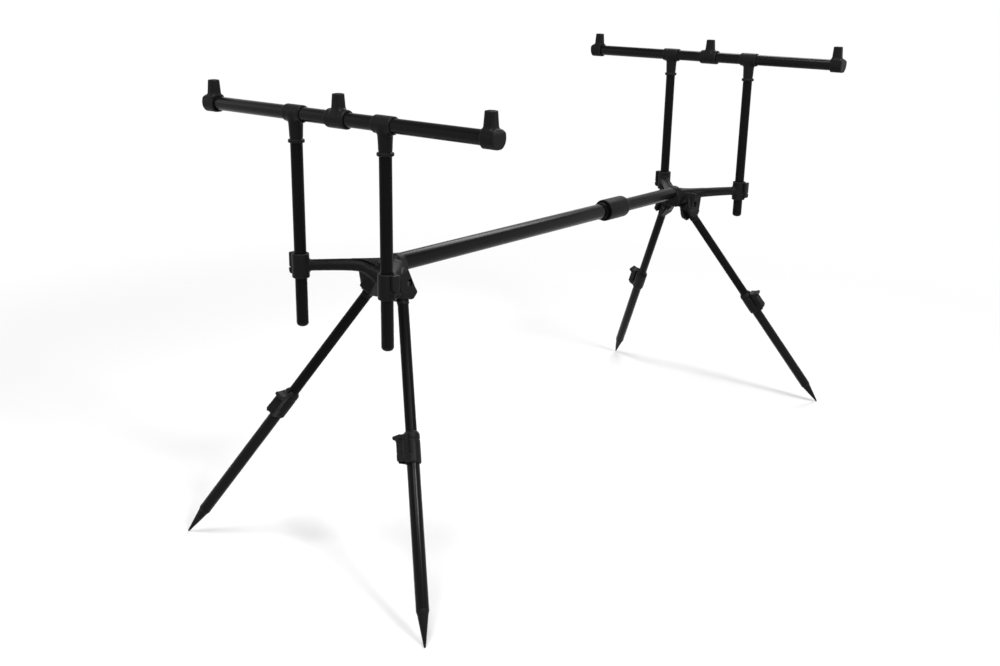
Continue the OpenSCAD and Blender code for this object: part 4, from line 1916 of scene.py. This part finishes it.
    def spike(self) -> Mesh:
        """The spike: a shouldered point with a plug inside the lower tube.

        Returns:
            The spike's mesh.
        """
        r, end = self.lower_d / 2, -self.length
        foot = end + self.spike_len
        inside = r - self.lower_wall - 0.05
        rings = (
            Ring(0, end), Ring(self.tip_r, end, 0.6), Ring(r - 1.2, foot - 6, 2.0),
            Ring(r - 0.5, foot - 4.2, 0.4), Ring(r - 0.5, foot - 3.2, 0.3),
            Ring(r, foot - 2.7, 0.3), Ring(r, foot, 0.2), Ring(inside, foot, 0.1),
            Ring(inside, foot + 12, 0.6), Ring(0, foot + 12),
        )
        return Turning(rings).mesh()

    @cached_property
    def mouldings(self) -> tuple[Mesh, Mesh, Mesh, Mesh]:
        """The knuckle, the clamp, the lever and the spike, made once for all four legs."""
        return self.knuckle(), self.clamp(), self.lever.mesh(), self.spike()

    def meshes(self, end: End) -> dict[str, tuple[Mesh, Finish]]:
        """The leg's meshes in its own frame.

        Args:
            end: Which end of the pod it is at, for the clamp's turn.

        Returns:
            Each mesh and its finish, by the last part of its node's name.
        """
        knuckle, clamp, lever, spike = self.mouldings
        at = shift(0, 0, self.clamp_z) @ turn(-self.clamp_turn[end], Axis.Z)
        pin = self.lever.pin(self.lever.inner_w + 2 * self.gap + 2 * self.ear_t)
        pivot = at @ shift(*self.lever_at)
        foot = self.spike_len - self.length
        return {
            "knuckle": (knuckle, NYLON),
            "upper_tube": (tube(self.upper_d, self.upper_wall, *self.upper_z), UPRIGHT),
            "clamp": (clamp.placed(at), NYLON),
            "lower_tube": (tube(self.lower_d, self.lower_wall, foot, self.clamp_z - self.clamp_step), TUBE),
            "spike": (spike, NYLON),
            "lever": (lever.placed(pivot), LEVER_NYLON),
            "lever_pin": (pin.placed(pivot), PIN_STEEL),
        }

    def place(self, end: End, side: Side) -> Matrix:
        """The frame of one leg, from its fold and slide joints.

        Args:
            end: Which end of the pod it is at.
            side: Which side it is on.

        Returns:
            The frame, in millimetres, with Z up the leg.
        """
        name = f"{end.label}_{side.label}_leg"
        fold = joint(f"{name}_fold")
        x = Vector(fold["axis"]).normalized()
        x = x if x.x * side.value > 0 else -x
        z = Vector(joint(f"{name}_slide")["axis"]).normalized()
        y = z.cross(x)
        y = y if y.y * end.value > 0 else -y
        place = Matrix((x, y, z)).transposed().to_4x4()
        place.translation = Vector(fold["pos_m"]) / MM
        return place

    def build(self, end: End, side: Side) -> list[Piece]:
        """All the pieces of one leg.

        Args:
            end: Which end of the pod it is at.
            side: Which side it is on.

        Returns:
            The tubes, the mouldings and the pin.
        """
        place = self.place(end, side)
        name = f"{end.label}_{side.label}_leg"
        return [
            Piece(f"{name}_{part}", mesh.placed(place), finish)
            for part, (mesh, finish) in self.meshes(end).items()
        ]


# Stage


@dataclass(frozen=True)
class Softbox:
    """One rectangular studio lamp.

    Attributes:
        name: Its name.
        place: Where it stands, in metres.
        aim: What it points at.
        size: Its width and height.
        power: Its power in watts.
    """

    name: str
    place: Point
    aim: Point
    size: tuple[float, float]
    power: float

    def build(self) -> None:
        """Adds the lamp to the scene."""
        lamp = bpy.data.lights.new(self.name, "AREA")
        lamp.shape, lamp.energy = "RECTANGLE", self.power
        lamp.size, lamp.size_y = self.size
        obj = bpy.data.objects.new(self.name, lamp)
        obj.location = self.place
        obj.rotation_euler = (Vector(self.aim) - Vector(self.place)).to_track_quat("-Z", "Y").to_euler()
        bpy.context.scene.collection.objects.link(obj)


@dataclass
class Studio:
    """The pale floor, the soft light and the camera at the photograph's angle.

    Attributes:
        eye: Place of the camera, in metres.
        azimuth: Turn of the view to the left, in degrees.
        elevation: How far it looks down, in degrees.
        roll: Turn of the picture, in degrees.
        lens: Focal length on a 36 mm wide sensor, in millimetres.
        floor_r: Radius of the floor, in metres.
        floor_tone: The floor's own grey.
        floor_lift: White added to the floor in what the camera and reflections see.
        floor_bounce: The floor's grey for the light that it throws back.
        floor_fade: Distances from the middle between which the floor fades to white, in metres.
        sky: Light from all round, for what isn't seen directly.
        ceiling: How bright the surroundings look overhead, where they are white at the sides.
        ceiling_from: Heights on the unit sphere between which the surroundings dim.
        lamps: The softboxes.
    """

    eye: Point = (1.0377, -1.4313, 0.7707)
    azimuth: float = 38.668
    elevation: float = 17.432
    roll: float = 1.088
    lens: float = 41.09
    floor_r: float = 7.0
    floor_tone: float = 0.74
    floor_lift: float = 0.13
    floor_bounce: float = 0.35
    floor_fade: tuple[float, float] = (0.8, 1.8)
    sky: float = 0.16
    ceiling: float = 0.15
    ceiling_from: tuple[float, float] = (0.30, 0.75)
    lamps: tuple[Softbox, ...] = (
        Softbox("key", (2.4, -0.64, 2.4), (0.0, 0.0, 0.35), (0.6, 0.5), 60.0),
        Softbox("back", (-0.6, 2.0, 2.5), (0.0, 0.0, 0.35), (1.8, 0.9), 42.0),
        Softbox("top", (-0.2, -0.7, 3.0), (0.0, 0.0, 0.35), (1.1, 0.8), 44.0),
        Softbox("front", (1.2, -1.9, 2.3), (0.0, -0.2, 0.4), (1.2, 0.5), 20.0),
        Softbox("left", (-2.6, -1.6, 1.7), (0.0, 0.0, 0.4), (1.2, 1.6), 4.0),
    )

    def camera(self) -> None:
        """Sets up the camera."""
        data = bpy.data.cameras.new("photo_view")
        data.lens, data.sensor_width, data.clip_end = self.lens, 36.0, 60.0
        az, el, roll = (math.radians(a) for a in (self.azimuth, self.elevation, self.roll))
        ahead = Vector((-math.sin(az) * math.cos(el), math.cos(az) * math.cos(el), -math.sin(el)))
        level = Vector((math.cos(az), math.sin(az), 0))
        up = level.cross(ahead)
        right = level * math.cos(roll) + up * math.sin(roll)
        place = Matrix((right, right.cross(ahead), -ahead)).transposed().to_4x4()
        place.translation = self.eye
        obj = bpy.data.objects.new("photo_view", data)
        obj.matrix_world = place
        bpy.context.scene.collection.objects.link(obj)
        bpy.context.scene.camera = obj

    @staticmethod
    def seen(tree: bpy.types.NodeTree) -> bpy.types.NodeSocket:
        """A value of 1 for what the camera, reflections and clear pieces see, and 0 for plain light.

        Args:
            tree: The node tree to add it to.

        Returns:
            The value.
        """
        path = tree.nodes.new("ShaderNodeLightPath")
        total = path.outputs["Is Camera Ray"]
        for name in ("Is Glossy Ray", "Is Transmission Ray"):
            node = tree.nodes.new("ShaderNodeMath")
            node.operation = "MAXIMUM"
            tree.links.new(total, node.inputs[0])
            tree.links.new(path.outputs[name], node.inputs[1])
            total = node.outputs["Value"]
        return total

    def world(self) -> None:
        """Makes the surroundings white to look at, with a dim ceiling, and a soft light otherwise."""
        world = bpy.data.worlds.new("white_studio")
        world.use_nodes = True
        tree = world.node_tree
        sky = tree.nodes["Background"]
        sky.inputs["Color"].default_value = grey(1.0)
        level = tree.nodes.new("ShaderNodeMapRange")
        tree.links.new(self.seen(tree), level.inputs["Value"])
        level.inputs["To Min"].default_value = self.sky
        way, split, ceiling = (tree.nodes.new(kind) for kind in (
            "ShaderNodeTexCoord", "ShaderNodeSeparateXYZ", "ShaderNodeMapRange"))
        tree.links.new(way.outputs["Generated"], split.inputs["Vector"])
        tree.links.new(split.outputs["Z"], ceiling.inputs["Value"])
        span = (*self.ceiling_from, 1.0, self.ceiling)
        for name, value in zip(("From Min", "From Max", "To Min", "To Max"), span):
            ceiling.inputs[name].default_value = value
        tree.links.new(ceiling.outputs["Result"], level.inputs["To Max"])
        tree.links.new(level.outputs["Result"], sky.inputs["Strength"])
        bpy.context.scene.world = world

    def paper(self) -> bpy.types.Material:
        """The floor's material, which fades to white and throws back less light than it shows.

        Returns:
            The material.
        """
        material = bpy.data.materials.new("pale_floor")
        material.use_nodes = True
        tree = material.node_tree
        tree.nodes.clear()
        link = tree.links.new
        shown, lift, white, plain, add, fade, choose, place, length, rim, output = (
            tree.nodes.new(f"ShaderNode{kind}") for kind in (
                "BsdfDiffuse", "Emission", "Emission", "BsdfDiffuse", "AddShader", "MixShader", "MixShader",
                "TexCoord", "VectorMath", "MapRange", "OutputMaterial",
            )
        )
        shown.inputs["Color"].default_value = grey(self.floor_tone)
        plain.inputs["Color"].default_value = grey(self.floor_bounce)
        lift.inputs["Strength"].default_value = self.floor_lift
        length.operation = "LENGTH"
        rim.inputs["From Min"].default_value, rim.inputs["From Max"].default_value = self.floor_fade
        rim.interpolation_type = "SMOOTHSTEP"
        link(shown.outputs[0], add.inputs[0])
        link(lift.outputs[0], add.inputs[1])
        link(place.outputs["Object"], length.inputs[0])
        link(length.outputs["Value"], rim.inputs["Value"])
        link(rim.outputs["Result"], fade.inputs[0])
        link(add.outputs[0], fade.inputs[1])
        link(white.outputs[0], fade.inputs[2])
        link(self.seen(tree), choose.inputs[0])
        link(plain.outputs[0], choose.inputs[1])
        link(fade.outputs[0], choose.inputs[2])
        link(choose.outputs[0], output.inputs["Surface"])
        return material

    def floor(self) -> None:
        """Lays a round pale floor that keeps the shadow and fades to white at its rim."""
        steps = 96
        angles = [2 * math.pi * i / steps for i in range(steps)]
        ring = [(self.floor_r * math.cos(a), self.floor_r * math.sin(a), 0.0) for a in angles]
        data = bpy.data.meshes.new("floor")
        data.from_pydata(ring, [], [tuple(range(steps))])
        data.materials.append(self.paper())
        obj = bpy.data.objects.new("floor", data)
        bpy.context.scene.collection.objects.link(obj)

    def build(self) -> None:
        """Sets the whole stage."""
        self.camera()
        self.world()
        self.floor()
        for lamp in self.lamps:
            lamp.build()
        bpy.context.scene.view_settings.view_transform = "Standard"


def main() -> None:
    """Builds and dresses the pod, then sets the stage."""
    logging.basicConfig(level=logging.INFO, format="%(name)s: %(message)s")
    main_bar, hub, cross_bar, leg = MainBar(), Hub(), CrossBar(), Leg()
    pieces = main_bar.build()
    for end in End:
        pieces += hub.build(end)
        pieces += cross_bar.build(end)
        for side in Side:
            pieces += leg.build(end, side)
    for piece in pieces:
        piece.fit()
    main_bar.dress()
    Studio().build()
    LOG.info("%d pieces fitted", len(pieces))


if __name__ == "__main__":
    main()
